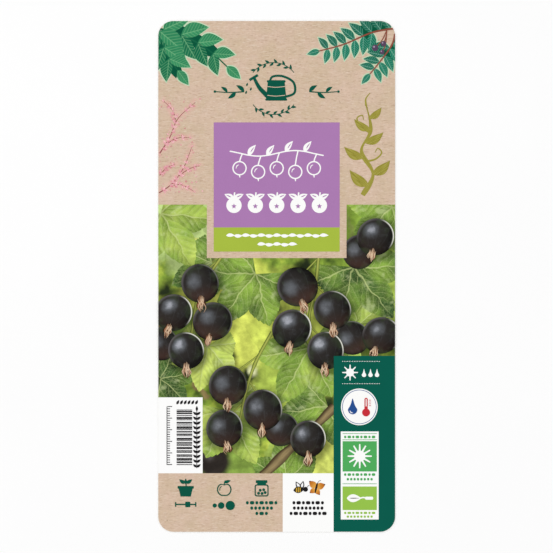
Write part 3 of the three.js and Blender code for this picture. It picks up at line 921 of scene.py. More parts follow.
# %% Wreath and rules
WREATH_X, WREATH_Y, WREATH_RADIUS = -1.4, CAN_Y + 0.3, 11.2
WREATH_SPAN = 104
WREATH_STEPS = 12
LEAF_LEAN = 40
# Each row is a leaf's place on the right rule, its side, and its length and width
RULE_LEAVES = [(14, -1, 1, 4.4, 1.7), (17.6, -1.2, -1, 4.4, 1.7), (21.2, -1.2, 1, 3.6, 1.4)]
RULE_LEAN = 38

wreath = []
for start in (38, 218):
    turns = [start + WREATH_SPAN * i / WREATH_STEPS for i in range(WREATH_STEPS + 1)]
    line = [around(WREATH_X, WREATH_Y, WREATH_RADIUS, turn) for turn in turns]
    wreath.append([stroke_loop(line, even(0.28), 48)])
    for i in range(1, WREATH_STEPS):
        heading = turns[i] + 90 + LEAF_LEAN * (-1) ** i
        wreath.append([blade_loop(*line[i], heading, 2.3, 0.95, 0.06)])
stamp("emblem_wreath", wreath, fine_green_ink)

for side, name in ((-1, "left"), (1, "right")):
    heading = 180 if side < 0 else 0
    line = [(side * 14, -1), (side * 20, -1.4), (side * 26.5, -1)]
    rule = [[stroke_loop(line, even(0.5, 0.35), 24)], [disc_loop(side * 26.6, -1, 0.55, 20)]]
    for x, y, lean, length, width in RULE_LEAVES:
        turn = side * lean
        rule.append([blade_loop(side * x, y, heading + turn * RULE_LEAN, length, width, turn * 0.08)])
    stamp(f"emblem_rule_{name}_line", placed(0, CAN_Y, rule), fine_green_ink, f"emblem_rule_{name}")

# %% [markdown]
# Laurel arches out of the header's left corner and fern hangs out of the right one. A printer would
# lay four inks: a pale halo, dark leaves in shade, green leaves over them and their light veins. The
# halo is a film of its own, grown a little past each leaf, and so are the dark leaves, each turned a
# little from its green one. The veins are drawn by the leaf's finish from the leaf's own coordinates,
# so every leaf has its midrib and side veins in place. Three small berries hang between the fronds.

# %% Leaf ink for the corners
VEIN_COUNT = 8
LAUREL_DARK = tint(12, 102, 70)
LAUREL_LIGHT = tint(60, 146, 98)
LAUREL_VEIN = tint(134, 198, 144)
FERN_DARK = tint(2, 96, 74)
FERN_LIGHT = tint(12, 124, 96)
FERN_VEIN = tint(164, 216, 194)


def corner_leaf_finish(name, dark, light, vein, strength):
    """Two greens by tone, a pale midrib and fine side veins that lean to the tip."""
    finish = Finish(name, 0.55, "corner_leaf_print")
    along, across = finish.own()
    green = finish.mix(finish.tone(), dark, light)
    green = green.scaled(finish.noise(2.2, 3.0, 0.6) * 0.5 + 0.76)
    lean = (along - across.size() * 0.9) * VEIN_COUNT
    side_vein = (lean.part() - 0.5).size().fade(0.17, 0.02) * 0.75
    midrib = across.size().fade(0.02, 0.008)
    veins = side_vein.most(midrib) * along.fade(0.0, 0.08) * strength
    shaded = green.toward(dark, across.fade(-0.02, 0.02) * 0.18)
    return finish.colour(shaded.toward(vein, veins))


laurel_finish = corner_leaf_finish("laurel_ink", LAUREL_DARK, LAUREL_LIGHT, LAUREL_VEIN, 0.58)
fern_finish = corner_leaf_finish("fern_ink", FERN_DARK, FERN_LIGHT, FERN_VEIN, 0.5)
laurel_stem_ink = ink("laurel_stem_ink", tint(16, 96, 66), 0.1, 0.1, "corner_leaf_print")
fern_stem_ink = ink("fern_stem_ink", tint(142, 78, 62), 0.1, 0.1, "corner_leaf_print")
halo_ink = ink("halo_ink", tint(196, 218, 186), 0.05, 0.08, "corner_leaf_print")
under_ink = ink("under_leaf_ink", tint(0, 84, 58), 0.12, 0.12, "corner_leaf_print")

# %% Leaves on a stem
FIRST_LEAF = 0.12
LEAF_SPAN = 0.84
LEAF_LOSS = 0.45
TIP_LEAF = 0.97
TIP_SHARE = 0.55
LAUREL = {"length": 14.5, "width": 7.4, "spread": 37}
FERN = {"length": 10.4, "width": 4.6, "spread": 64}
LAUREL_STEMS = [
    {"places": [(-52, 107), (-41, 104), (-30, 98), (-21, 90)], "pairs": 4},
    {"places": [(-51, 108), (-49, 100), (-46.5, 94), (-42.5, 88.5)], "pairs": 3},
]
FERN_STEMS = [
    {"places": [(52, 107), (41, 105), (29, 100), (18, 97)], "pairs": 8},
    {"places": [(51, 104.5), (49.5, 99.5), (44.5, 92.5), (40, 87)], "pairs": 6},
]


def sprig_leaves(places, pairs, length, width, spread):
    """The place, heading, length, width and side of each leaf on a stem, and of the one at its tip."""
    leaves = []
    for i in range(pairs):
        t = FIRST_LEAF + LEAF_SPAN * i / pairs
        size = 1 - LEAF_LOSS * t
        x, y = on_curve(places, t)
        for side in (1, -1):
            heading = heading_at(places, t) + side * spread
            leaves.append((x, y, heading, length * size, width * size, side))
    tip_heading = heading_at(places, 0.99)
    leaves.append((*on_curve(places, TIP_LEAF), tip_heading, length * TIP_SHARE, width * TIP_SHARE, 0))
    return leaves


print("the upper laurel stem has", len(sprig_leaves(**LAUREL_STEMS[0], **LAUREL)), "leaves")

# %% Corner sprigs
HALO = 0.5
HALO_TOP = FILM_FOOT + 0.02
UNDER_TOP = FILM_FOOT + 0.03
STEM_TOP = FILM_FOOT + 0.04
FERN_STEM_TOP = STEM_TOP + 0.1
LEAF_RISE = 0.003
UNDER_TURN = 26
UNDER_PAIRS = 6
UNDER_SHARE = 0.9
SHADED, LIT = 0.15, 0.85


def corner_sprig(name, stems, leaf, bend, stem_width, stem_top, bare, seed):
    """
    A corner's leaves, their pale halo, the dark leaves below and the stems, as four pieces. The two
    stems cross, so each one's inner side starts bare, for as many leaves as bare says.
    """
    draw = random.Random(seed)
    leaves, halos, unders, stalks = [], [], [], []
    for stem, inner_side in zip(stems, (1, -1)):
        stem_loop = stroke_loop(stem["places"], even(stem_width, stem_width / 2), 30)
        stalks.append(header_film(name, stem_loop, stem_top + LEAF_RISE * len(stalks)))
        for i, (x, y, heading, length, width, side) in enumerate(sprig_leaves(**stem, **leaf)):
            if side == inner_side and i < 2 * bare:
                continue
            if side and i < UNDER_PAIRS:
                turned = heading - side * UNDER_TURN
                below = blade_loop(x, y, turned, length * UNDER_SHARE, width, -side * bend)
                unders.append(header_film(name, below, UNDER_TOP))
            back = around(x, y, -HALO, heading)
            grown = blade_loop(*back, heading, length + 2.2 * HALO, width + 2 * HALO, side * bend)
            halos.append(header_film(name, grown, HALO_TOP))
            loop = blade_loop(x, y, heading, length, width, side * bend)
            film = header_film(name, loop, STEM_TOP + LEAF_RISE * (1 + len(leaves)))
            tone = (SHADED if side < 0 else LIT) + draw.uniform(-0.12, 0.12)
            leaves.append(mapped(film, local_frame(x, y, heading, length), tone))
    for part, films, finish in (("halo", halos, halo_ink), ("under", unders, under_ink)):
        piece = combine(films[0], films[1:])
        piece.name = f"{name}_{part}"
        settle(piece, finish)
    return joined(name + "_stems", stalks), joined(name + "_leaves", leaves)


laurel_stems, laurel_leaves = corner_sprig(
    "laurel", LAUREL_STEMS, LAUREL, bend=0.07, stem_width=1.0, stem_top=STEM_TOP, bare=0, seed=3
)
settle(laurel_stems, laurel_stem_ink)
settle(laurel_leaves, laurel_finish, "corner_sprig_left")
fern_stems, fern_leaves = corner_sprig(
    "fern", FERN_STEMS, FERN, bend=0.05, stem_width=0.8, stem_top=FERN_STEM_TOP, bare=2, seed=4
)
settle(fern_stems, fern_stem_ink)
settle(fern_leaves, fern_finish, "corner_fern_right")

# %% Corner berries
CORNER_BERRIES = [(42.4, 98.4, 1.35), (46.0, 100.2, 1.15), (45.4, 96.6, 1.0)]
BUNCH_X, BUNCH_Y = 47.4, 106.0
plum_ink = ink("plum_ink", tint(86, 68, 92), 0.10, 0.10, "berry_print")
plum_shine_ink = ink("plum_shine_ink", tint(168, 150, 172), 0.05, 0.05, "berry_print")

berries, shines, stalks = [], [], []
for x, y, radius in CORNER_BERRIES:
    stalk = [(BUNCH_X, BUNCH_Y), ((x + BUNCH_X) / 2 + 0.5, y + 3.4), (x, y)]
    stalks.append([stroke_loop(stalk, even(0.4), 12)])
    berries.append([disc_loop(x, y, radius, 32)])
    shines.append(disc_loop(x - 0.35 * radius, y + 0.35 * radius, 0.3 * radius, 16))
stamp("corner_berry_stalks", stalks, fern_stem_ink, top=FERN_STEM_TOP + 0.01)
stamp("corner_berries", berries, plum_ink, top=FERN_STEM_TOP + 0.02)
stamp("corner_berry_shines", [shines], plum_shine_ink, top=FERN_STEM_TOP + 0.04, foot=FERN_STEM_TOP + 0.01)

# %% [markdown]
# Pink flower stalks rise along the header's left edge, as in a wash of watercolour: fine reddish
# twigs with side twigs, small petals from deep to pale pink that stand in tufts with bare twig
# between them, and a few spattered dots. Chance sets each petal's turn, size and tone, because a brush
# never lays two alike, and a fixed seed makes the same petals each time.

# %% Pink flower stalks
PINK_DEEP = tint(208, 122, 134)
PINK_PALE = tint(242, 192, 194)
PETAL = {"length": 2.6, "width": 1.25, "spread": 40}
PETAL_TOP = STEM_TOP + 0.004
PETAL_RISE = 0.0007
# The petals of a tuft: how far each is turned to the leaf's side, and its share of the size
TUFT = ((0, 1.0), (30, 0.75), (-22, 0.66))
TUFTS = 2.6
BARE_BELOW = -0.15
# How thick a twig is, and how many pairs of petals it has
MAIN_TWIG, SIDE_TWIG = (0.5, 11), (0.36, 6)
TWIG_TIP = 0.14
DOTS_ON_TWIG = 16
DOT_SPREAD = 1.9

pink_finish = Finish("pink_wash", 0.6, "pink_print")
along, _ = pink_finish.own()
petal = pink_finish.mix(pink_finish.tone(), PINK_DEEP, PINK_PALE)
petal = petal.toward(tint(247, 205, 208), along.fade(0.5, 1.1) * 0.6)
pink_finish.colour(petal.scaled(pink_finish.noise(0.9, 3.0, 0.6) * 0.4 + 0.8))
twig_ink = ink("pink_twig_ink", tint(148, 78, 84), 0.12, 0.12, "pink_print")


def add_petal(petals, loop, own_at, tone):
    """Lays a petal or a dot over the ones before it."""
    film = header_film("petal", loop, PETAL_TOP + PETAL_RISE * len(petals))
    petals.append(mapped(film, own_at, tone))


for name, curves in PINK_STALKS.items():
    draw = random.Random(name)
    twigs, petals = [], []
    for places in curves:
        thick, pairs = MAIN_TWIG if places is curves[0] else SIDE_TWIG
        twig = stroke_loop(places, even(thick, TWIG_TIP), 30)
        twigs.append(header_film("twig", twig, STEM_TOP - LEAF_RISE * len(twigs)))
        start = draw.random()
        for i, (x, y, heading, length, width, side) in enumerate(sprig_leaves(places, pairs, **PETAL)):
            if math.sin(2 * math.pi * (TUFTS * i / pairs / 2 + start)) < BARE_BELOW:
                continue
            for turn, share in TUFT:
                degrees = heading + side * turn + draw.uniform(-14, 14)
                long = length * share * draw.uniform(0.7, 1.1)
                loop = blade_loop(x, y, degrees, long, width * share * 0.8, draw.uniform(-0.1, 0.1), 10)
                add_petal(petals, loop, local_frame(x, y, degrees, long), draw.random() ** 0.7)
        for _ in range(DOTS_ON_TWIG):
            x, y = on_curve(places, draw.random())
            x, y = x + draw.gauss(0, DOT_SPREAD), y + draw.gauss(0, DOT_SPREAD)
            radius = draw.uniform(0.12, 0.36)
            if x > LEFT + 0.5:
                add_petal(petals, disc_loop(x, y, radius, 10), local_frame(x, y, 0, 1.0), draw.random())
    settle(joined(f"pink_twigs_{name}", twigs), twig_ink)
    settle(joined(f"pink_petals_{name}", petals), pink_finish, f"pink_sprig_{name}")

# %% [markdown]
# The olive flourish is one brush stroke with leaves laid on by the side of the brush. A loaded brush
# leaves streaks along its path, darker where it pooled at the end, so the streaks follow the stroke's
# own coordinates: along it and across it.

# %% Olive brush finish
OLIVE = tint(161, 153, 66)
OLIVE_DARK = tint(134, 125, 44)
OLIVE_PALE = tint(190, 181, 104)

olive_finish = Finish("olive_brush", 0.6, "olive_print")
along, across = olive_finish.own()
streaks = olive_finish.streaks(along * 1.6, across * 26, 3.0)
olive = olive_finish.mix(streaks.fade(0.38, 0.5), OLIVE_DARK, OLIVE)
olive = olive.toward(OLIVE_PALE, streaks.fade(0.56, 0.68) * 0.7)
olive_finish.colour(olive.toward(OLIVE_DARK, along.fade(0.72, 1.0) * 0.35))

# %% Olive flourish
OLIVE_STROKE = [(37, 35), (41.5, 44), (36.5, 54), (40.5, 63), (38.5, 74)]
OLIVE_BLADES = [
    (39.6, 39, 140, 9.5, 3.2),
    (41.2, 44, 38, 8.6, 3.0),
    (37.4, 51, 150, 8.6, 2.8),
    (38.0, 57.5, 30, 8.2, 2.6),
    (40.4, 63, 146, 7.6, 2.4),
    (39.8, 68, 42, 6.4, 2.1),
]
OLIVE_TENDRILS = [
    [(38.4, 49.5), (42.5, 50.5), (45.2, 53.2), (43.6, 55.2), (42.4, 53.4)],
    [(39.9, 62), (36.4, 64.5), (34.6, 68), (36.8, 69.4), (37.4, 67.4)],
    [(38.5, 73.6), (38.4, 76.5), (40.2, 79)],
]
BLADE_TOP = STEM_TOP + 0.02
BLADE_RISE = 0.002


def olive_width(t):
    """The stroke presses and lifts twice on its way up."""
    return 1.5 + 0.9 * math.sin(2 * math.pi * (t * 1.5 + 0.12)) ** 2 - 1.1 * t


def stroke_piece(name, places, width_at, top, steps=40, foot=FILM_FOOT):
    """A stroke with its own coordinates: along from 0 to 1, and across from -1 to 1."""
    loop = stroke_loop(places, width_at, steps)
    owns = {}
    for i, spot in enumerate(loop):
        lower = i <= steps
        along = i / steps if lower else (2 * steps + 1 - i) / steps
        owns[round(spot[0], 2), round(spot[1], 2)] = (along, -1.0 if lower else 1.0)
    film = cut_film(name, [loop], top, foot)
    return mapped(film, lambda x, y: owns.get((round(x, 2), round(y, 2)), (0.5, 0.0)))


flourish = [stroke_piece("olive_stem", OLIVE_STROKE, olive_width, STEM_TOP, 60)]
for i, (x, y, heading, length, width) in enumerate(OLIVE_BLADES):
    bend = 0.1 if heading > 90 else -0.1
    loop = blade_loop(x, y, heading, length * 1.12, width * 1.4, bend, 24)
    film = cut_film("olive_blade", [loop], BLADE_TOP + BLADE_RISE * i)
    flourish.append(mapped(film, local_frame(x, y, heading, length)))
for places in OLIVE_TENDRILS:
    flourish.append(stroke_piece("olive_tendril", places, even(0.9, 0.3), STEM_TOP - 0.005))
settle(joined("olive_brushwork", flourish), olive_finish, "olive_flourish")

# %% [markdown]
# The picture shows dark berries among lobed leaves, with the bush out of focus behind them. What is
# blurred is painted by the ground's own finish: soft leaves, stems and berries are formulas of the
# place, each with a wide fade at its edge, laid one over the other. What is sharp is cut as pieces.
# Every layer below the berries is darker beside them, so their places come first.

# %% Berries in the picture
BERRIES = [
    (-33, -3, 8.4), (-44.5, -15.6, 8.2), (-27.6, -19.4, 8.6), (-39, -32, 8.0),
    (9, -4.5, 8.8), (24, -14.5, 8.4), (6.5, -22.6, 8.6), (21, -32, 8.2),
    (42.5, 17, 8.2), (45, -25.4, 8.2),
    (-21, -47, 8.6), (-6, -57.5, 8.8), (-22.5, -65.5, 8.2), (13.5, -70, 8.0),
]
SHADOW_X = 0.5
SHADOW_Y = -1.1
SHADOW_START = -0.6
SHADOW_REACH = 3.4


def berry_shade(finish, depth):
    """1 in the open and less beside a berry, where it keeps the light off."""
    lights = []
    for x, y, radius in BERRIES:
        centre = (x + SHADOW_X, y + SHADOW_Y, FILM_FOOT)
        gap = finish.node("ShaderNodeVectorMath", {"operation": "DISTANCE"}, {0: finish.place, 1: centre}, 1)
        lights.append(gap.fade(radius + SHADOW_START, radius + SHADOW_REACH) * depth + (1 - depth))
    return reduce(Wire.__mul__, lights)


print("berries", len(BERRIES))

# %% Soft shapes by formula
LOBE_TURN = 53.0
LOBE_CUT = 0.58
LOBE_LOSS = 0.19
LOBE_POWER = 0.85
OUTER_LOBE = 2


def lobe_frame(u, v):
    """The lobe that a place lies in, its distance from the leaf's foot, and its angle in the lobe."""
    radius = (u * u + v * v) ** 0.5
    turn = v.angle_over(u)
    lobe = (turn / math.radians(LOBE_TURN)).whole().least(OUTER_LOBE).most(-OUTER_LOBE)
    return lobe, radius, turn - lobe * math.radians(LOBE_TURN)


def soft_leaf(under, place, x, y, degrees, size, colour, soft, strength):
    """Lays a blurred lobed leaf over what is under it."""
    cos, sin = around(0, 0, 1 / size, degrees)
    dx, dy = place[0] - x, place[1] - y
    lobe, radius, inner = lobe_frame(dx * cos + dy * sin, dy * cos - dx * sin)
    across = radius * inner.sine()
    offset = (inner.size() / math.radians(LOBE_TURN / 2)).least(1.0)
    reach = (1 - offset) ** LOBE_POWER * (1 - LOBE_LOSS * lobe.size() - LOBE_CUT) + LOBE_CUT
    vein = across.size().fade(0.05 + soft * 0.3, 0.0) * 0.35
    lit = under.finish.scaled(colour, 1 + vein + across * 0.6)
    return under.toward(lit, (reach - radius).fade(-soft, soft) * strength)


def soft_line(under, place, start, end, width, colour, soft):
    """Lays a blurred stem over what is under it."""
    return under.toward(colour, line_gap(place, start, end).fade(width / 2 + soft, width / 2 - soft))


def soft_disc(under, place, x, y, radius, colour, soft):
    """Lays a blurred disc over what is under it."""
    dx, dy = place[0] - x, place[1] - y
    gap = (dx * dx + dy * dy) ** 0.5
    return under.toward(colour, gap.fade(radius + soft, radius - soft))


print("a leaf has", 2 * OUTER_LOBE + 1, "lobes")

# %% What is out of focus
DEPTHS = [
    (0.24, tint(34, 44, 20)),
    (0.38, tint(76, 98, 38)),
    (0.50, tint(126, 152, 56)),
    (0.62, tint(176, 192, 76)),
    (0.78, tint(214, 220, 122)),
]
# Each row is x, y, heading, size, colour, softness and strength, from the back to the front
SOFT_LEAVES = [
    (-46, 34, -70, 44, tint(172, 192, 122), 0.10, 0.95),
    (40, 34, -110, 30, tint(118, 146, 54), 0.10, 0.9),
    (-20, -14, -80, 40, tint(204, 212, 96), 0.09, 0.95),
    (52, -2, -160, 30, tint(146, 168, 72), 0.10, 0.9),
    (6, -16, -40, 32, tint(190, 202, 88), 0.12, 0.9),
    (-48, -28, -20, 26, tint(98, 126, 54), 0.10, 0.9),
    (10, -48, -90, 34, tint(166, 186, 80), 0.08, 0.9),
    (-26, -84, 50, 30, tint(124, 150, 66), 0.10, 0.9),
    (26, -86, 120, 24, tint(196, 204, 100), 0.12, 0.9),
]
# Each row is the two ends, the width, colour and softness
SOFT_STEMS = [
    ((-31, -60), (-3, -82), 2.0, tint(176, 200, 92), 0.7),
    ((3, -34), (-4, -86), 2.4, tint(164, 188, 88), 0.9),
    ((30, 30), (44, -34), 1.6, tint(120, 136, 66), 0.7),
    ((-50, -22), (-30, -52), 3.0, tint(132, 116, 74), 0.8),
    ((-22, 8), (-48, 26), 1.4, tint(190, 196, 104), 0.5),
]
SOFT_BERRIES = [(31, -4, 6.8), (-27, -80, 7.0)]
SOFT_BERRY = tint(46, 40, 36)
SOFT_BERRY_LIGHT = tint(106, 102, 102)
DARK_GAP = tint(38, 48, 26)
DARK_GAPS = [
    (-30, 9, 4.0), (-12, -42, 4.5), (33, -30, 6.0), (-49, -46, 4.0), (12, 5, 4.0), (-4, -84, 4.5),
    (-20, -33, 3.6), (22, -57, 5.0), (-48, -6, 3.4), (-12, -73, 4.0), (-1, -14, 3.2),
]
# Each row is x, y, radius, colour and softness
GLINTS = [
    (-49, 20, 2.4, tint(236, 240, 220), 2.0),
    (-18, 2, 1.8, tint(230, 236, 196), 1.4),
    (-10, -40, 2.2, tint(232, 234, 180), 1.8),
    (36, -10, 1.6, tint(236, 238, 212), 1.4),
    (4, -66, 2.0, tint(230, 214, 166), 1.4),
    (-44, -46, 1.4, tint(230, 232, 190), 1.2),
]
print("soft shapes", sum(len(rows) for rows in (SOFT_LEAVES, SOFT_STEMS, SOFT_BERRIES, DARK_GAPS, GLINTS)))

# %% The blurred bush
GAP_SOFT = 2.8
BERRY_SOFT = 1.9
STEADY = 0.12

bush = Finish("blurred_bush", 0.5)


def warp(slow_shift, quick_shift):
    """How far a place is moved, in mm, so that no soft edge is a plain curve."""
    slow = (bush.noise(7.0, 2.0, shift=slow_shift) - 0.5) * 7
    return slow + (bush.noise(2.2, 2.0, shift=quick_shift) - 0.5) * 1.6


warp_x, warp_y = warp(2.0, 5.0), warp(9.0, 12.0)
loose = (bush.x + warp_x, bush.y + warp_y)
steady = (bush.x + warp_x * STEADY, bush.y + warp_y * STEADY)
depth_noise = bush.noise(11.0, 3.0, 0.55) * 0.75 + bush.noise(4.0, 3.0, 0.6, shift=6.0) * 0.25
picture = bush.node("ShaderNodeValToRGB", {"stops": DEPTHS}, {0: depth_noise})
for row in SOFT_LEAVES:
    picture = soft_leaf(picture, loose, *row)
for row in SOFT_STEMS:
    picture = soft_line(picture, loose, *row)
for x, y, radius in DARK_GAPS:
    picture = soft_disc(picture, loose, x, y, radius, DARK_GAP, GAP_SOFT)
for x, y, radius in SOFT_BERRIES:
    picture = soft_disc(picture, steady, x, y, radius, SOFT_BERRY, BERRY_SOFT)
    shine_x, shine_y = x - 0.3 * radius, y + 0.35 * radius
    picture = soft_disc(picture, steady, shine_x, shine_y, 0, SOFT_BERRY_LIGHT, radius * 0.5)
for row in GLINTS:
    picture = soft_disc(picture, loose, *row)
picture = picture.scaled(bush.noise(5.5, 4.0, 0.6, shift=15.0).fade(0.3, 0.7) * 0.5 + 0.8)
picture = picture.scaled(berry_shade(bush, 0.55))
bush.colour(picture.scaled(bush.noise(0.5, 2.0, 0.6, shift=8.0) * 0.2 + 0.9))
repaint("picture_ground", bush)

# %% [markdown]
# A sharp leaf has five lobes with toothed edges. Its finish knows the lobe that a place lies in, so
# it draws a pale main vein down each lobe, side veins that leave it at a slant, and the fine net
# between them. The blade swells between the side veins, and one half of each lobe turns from the
# light, which gives the folds that the picture shows.

# %% Leaf finish
LEAF_DARK = tint(54, 84, 40)
LEAF_MID = tint(124, 156, 60)
LEAF_LIGHT = tint(192, 208, 100)
LEAF_VEIN = tint(204, 216, 144)
LEAF_SHEEN = tint(208, 218, 164)
SIDE_VEINS = 8.0
WAVER = 0.14

leaf_finish = Finish("leaf_print_ink", 0.5, "leaf_print")
u, v = leaf_finish.own()
u = u + (leaf_finish.noise(7.0, shift=3.0) - 0.5) * WAVER
v = v + (leaf_finish.noise(7.0, shift=13.0) - 0.5) * WAVER
_, radius, inner = lobe_frame(u, v)
along, across = radius * inner.cosine(), radius * inner.sine()
side = across.size()
tone = leaf_finish.tone() + (leaf_finish.noise(13.0, 2.0, shift=31.0) - 0.5) * 1.4
green = leaf_finish.mix(tone.fade(0.0, 0.6), LEAF_DARK, LEAF_MID).toward(LEAF_LIGHT, tone.fade(0.5, 1.2))
slant = (along - side * 0.9 - side * side * 0.8) * SIDE_VEINS
swell = (slant * 2 * math.pi).sine() * side.fade(0.0, 0.08)
fold = across.fade(-0.04, 0.04)
clouds = leaf_finish.noise(8.0, 4.0, 0.6, shift=4.0)
green = green.scaled(swell * 0.12 + fold * 0.26 + clouds * 1.6 + 0.14)
sheen = (leaf_finish.noise(6.0, 3.0, 0.55, shift=41.0) + swell * 0.03).fade(0.54, 0.72)
green = green.toward(LEAF_SHEEN, sheen * 0.42)
coarse_net = leaf_finish.cells(1.9, "DISTANCE_TO_EDGE", shift=5.0).fade(0.08, 0.0)
fine_net = leaf_finish.cells(0.9, "DISTANCE_TO_EDGE").fade(0.09, 0.0)
green = green.toward(LEAF_VEIN, coarse_net * 0.13 + fine_net * 0.13)
groove = side.fade(0.045, 0.0) * across.fade(0.0, -0.02)
green = green.scaled(1 - groove * 0.3)
vein_width = 0.0125 - radius * 0.007
main_vein = side.fade(vein_width * 1.6, vein_width * 0.3)
side_gap = 0.5 - (slant.part() - 0.5).size()
side_vein = side_gap.fade(0.085, 0.0) * side.fade(0.34, 0.04) * 0.62
green = green.toward(LEAF_VEIN, main_vein.most(side_vein) * radius.fade(1.0, 0.6) * 0.6)
green = green.scaled(1 - radius.fade(0.2, 0.0) * 0.25).scaled(berry_shade(leaf_finish, 0.62))
leaf_finish.colour(green.scaled(leaf_finish.noise(0.45, 2.0, 0.6) * 0.24 + 0.88))

# %% Leaves
LOBES = [(-106, 0.62), (-53, 0.86), (0, 1.0), (53, 0.86), (106, 0.62)]
LOBE_STEPS = 48
TEETH = 5
TOOTH = 0.035
# Each row is a leaf's foot, its heading, its size and its tone
LEAVES = {
    "leaf_upper_left": (-50, 27, -58, 27, 0.72),
    "leaf_left": (-9, 1, -128, 27, 0.42),
    "leaf_right": (33, 4, -52, 28, 0.25),
    "leaf_middle": (14, -31, -118, 27, 0.62),
    "leaf_lower": (-21, -58, -62, 26, 0.8),
}
REAR_LEAVES = [
    (-28, 6, -150, 20, 0.3),
    (50, 30, -135, 24, 0.55),
    (34, -22, 150, 22, 0.6),
    (-50, -44, 10, 18, 0.1),
    (22, -56, -120, 24, 0.4),
    (-30, -30, -100, 20, 0.95),
    (4, -88, 95, 20, 0.3),
]
REAR_LEAF_TOP, REAR_LEAF_RISE = FILM_FOOT + 0.01, 0.003
FRONT_LEAF_TOP, FRONT_LEAF_RISE = FILM_FOOT + 0.05, 0.005


def lobed_loop(x, y, degrees, size):
    """A five-lobed leaf. The edge rises to each lobe's tip and falls to the cuts, and is toothed."""
    loop = [(x, y)]
    for turn, reach in LOBES:
        for i in range(LOBE_STEPS):
            offset = 2 * i / LOBE_STEPS - 1
            rise = (1 - abs(offset)) ** LOBE_POWER
            tooth = (abs(offset) * TEETH) % 1
            notch = TOOTH * tooth**1.5 * math.sin(math.pi * min(abs(offset) + 0.12, 1))
            radius = size * (LOBE_CUT + (reach - LOBE_CUT) * rise - notch)
            loop.append(around(x, y, radius, degrees + turn + offset * LOBE_TURN / 2))
    return loop


def picture_leaf(name, x, y, degrees, size, tone, top):
    """A leaf cut off where the picture ends."""
    film = trimmed(cut_film(name, [lobed_loop(x, y, degrees, size)], top), picture_outline)
    return mapped(film, local_frame(x, y, degrees, size), tone)


for i, row in enumerate(REAR_LEAVES):
    settle(picture_leaf(f"rear_leaf_{i + 1}", *row, REAR_LEAF_TOP + REAR_LEAF_RISE * i), leaf_finish)
for i, (node, row) in enumerate(LEAVES.items()):
    piece = picture_leaf(node + "_blade", *row, FRONT_LEAF_TOP + FRONT_LEAF_RISE * i)
    settle(piece, leaf_finish, node)

# %% [markdown]
# Green stalks hang over the leaves and carry the berries, each on a thin stem of its own, and a woody
# branch crosses the foot of the picture. Across its width a round stalk is light in the middle and
# dark at its edges, so its finish reads the across coordinate of the stroke.

# %% Round stems
STROKE_STEPS = 60


def round_stem_finish(name, slot, dark, light, grain_stretch, grain_depth):
    """Light along the middle and dark at the edges, with a grain that runs along the stem."""
    finish = Finish(name, 0.55, slot)
    along, across = finish.own()
    round_light = across.size().fade(1.0, 0.1)
    grain = finish.streaks(along * grain_stretch, across * 3.0, 4.0)
    colour = finish.mix(round_light * 0.8 + across * 0.15, dark, light)
    colour = colour.scaled(grain * grain_depth + (1 - grain_depth / 2))
    return finish.colour(colour.scaled(berry_shade(finish, 0.35)))


def trimmed_stroke(name, places, width_at, top):
    """A stroke that ends at the picture's edge. Its own coordinates come from the nearest step."""
    loop = stroke_loop(places, width_at, STROKE_STEPS)
    film = trimmed(cut_film(name, [loop], top), picture_outline)
    shares = [i / STROKE_STEPS for i in range(STROKE_STEPS + 1)]
    line = [(on_curve(places, t), t) for t in shares]

    def own_at(x, y):
        (cx, cy), t = min(line, key=lambda step: (step[0][0] - x) ** 2 + (step[0][1] - y) ** 2)
        side_x, side_y = around(0, 0, 1, heading_at(places, t) + 90)
        gap = (x - cx) * side_x + (y - cy) * side_y
        return t, max(-1.0, min(1.0, 2 * gap / width_at(t)))

    return mapped(film, own_at)


print("a stem follows", STROKE_STEPS, "steps")

# %% Stalks and branch
STALK_TOP = FILM_FOOT + 0.10
STALKS = {
    "stalk_left": [(-24, 8.2), (-33, -6), (-36, -20), (-37, -30)],
    "stalk_middle": [(18, 8.2), (16.5, -6), (14, -18), (15.5, -30)],
    "stalk_lower": [(-2, -24), (-9.5, -38), (-14, -53), (-16.5, -66)],
}
STALK_BERRIES = {"stalk_left": BERRIES[0:4], "stalk_middle": BERRIES[4:8], "stalk_lower": BERRIES[10:13]}
STEM_FALL = 0.003
BRANCH = [(25, -56), (14, -67), (4, -76), (-6, -86)]
BRANCH_TOP = STALK_TOP - 0.02
# The places of a stalk's knots along it, and how much wider it is there
KNOTS = [(0.33, 0.35), (0.7, 0.3)]
KNOT_REACH = 0.03


def stalk_width(t):
    """A stalk thins to its end, and has knots."""
    knots = sum(rise * math.exp(-(((t - at) / KNOT_REACH) ** 2)) for at, rise in KNOTS)
    return 1.5 - 0.6 * t + knots


def branch_width(t):
    return 3.6 + t + 0.5 * math.sin(19 * t)


stalk_greens = (tint(92, 104, 42), tint(182, 190, 92))
wood_browns = (tint(72, 58, 38), tint(160, 140, 98))
stalk_finish = round_stem_finish("stalk_print_ink", "stalk_print", *stalk_greens, 14.0, 0.5)
wood_finish = round_stem_finish("wood_print_ink", "wood_print", *wood_browns, 10.0, 0.9)
for node, places in STALKS.items():
    head_y, foot_y = places[0][1], places[-1][1]
    parts = [trimmed_stroke(node, places, stalk_width, STALK_TOP)]
    for x, y, radius in STALK_BERRIES[node]:
        t = max(0.1, min(0.95, (head_y - y - radius) / (head_y - foot_y)))
        start = on_curve(places, t - 0.1)
        stem = [start, ((start[0] + x) / 2, (start[1] + y) / 2 + 1.6), (x, y + radius * 0.4)]
        parts.append(trimmed_stroke(node, stem, even(0.8, 0.6), STALK_TOP - STEM_FALL * (1 + len(parts))))
    settle(joined(node + "_stem", parts), stalk_finish, node)
branch = trimmed_stroke("branch_lower_bark", BRANCH, branch_width, BRANCH_TOP)
settle(branch, wood_finish, "branch_lower")

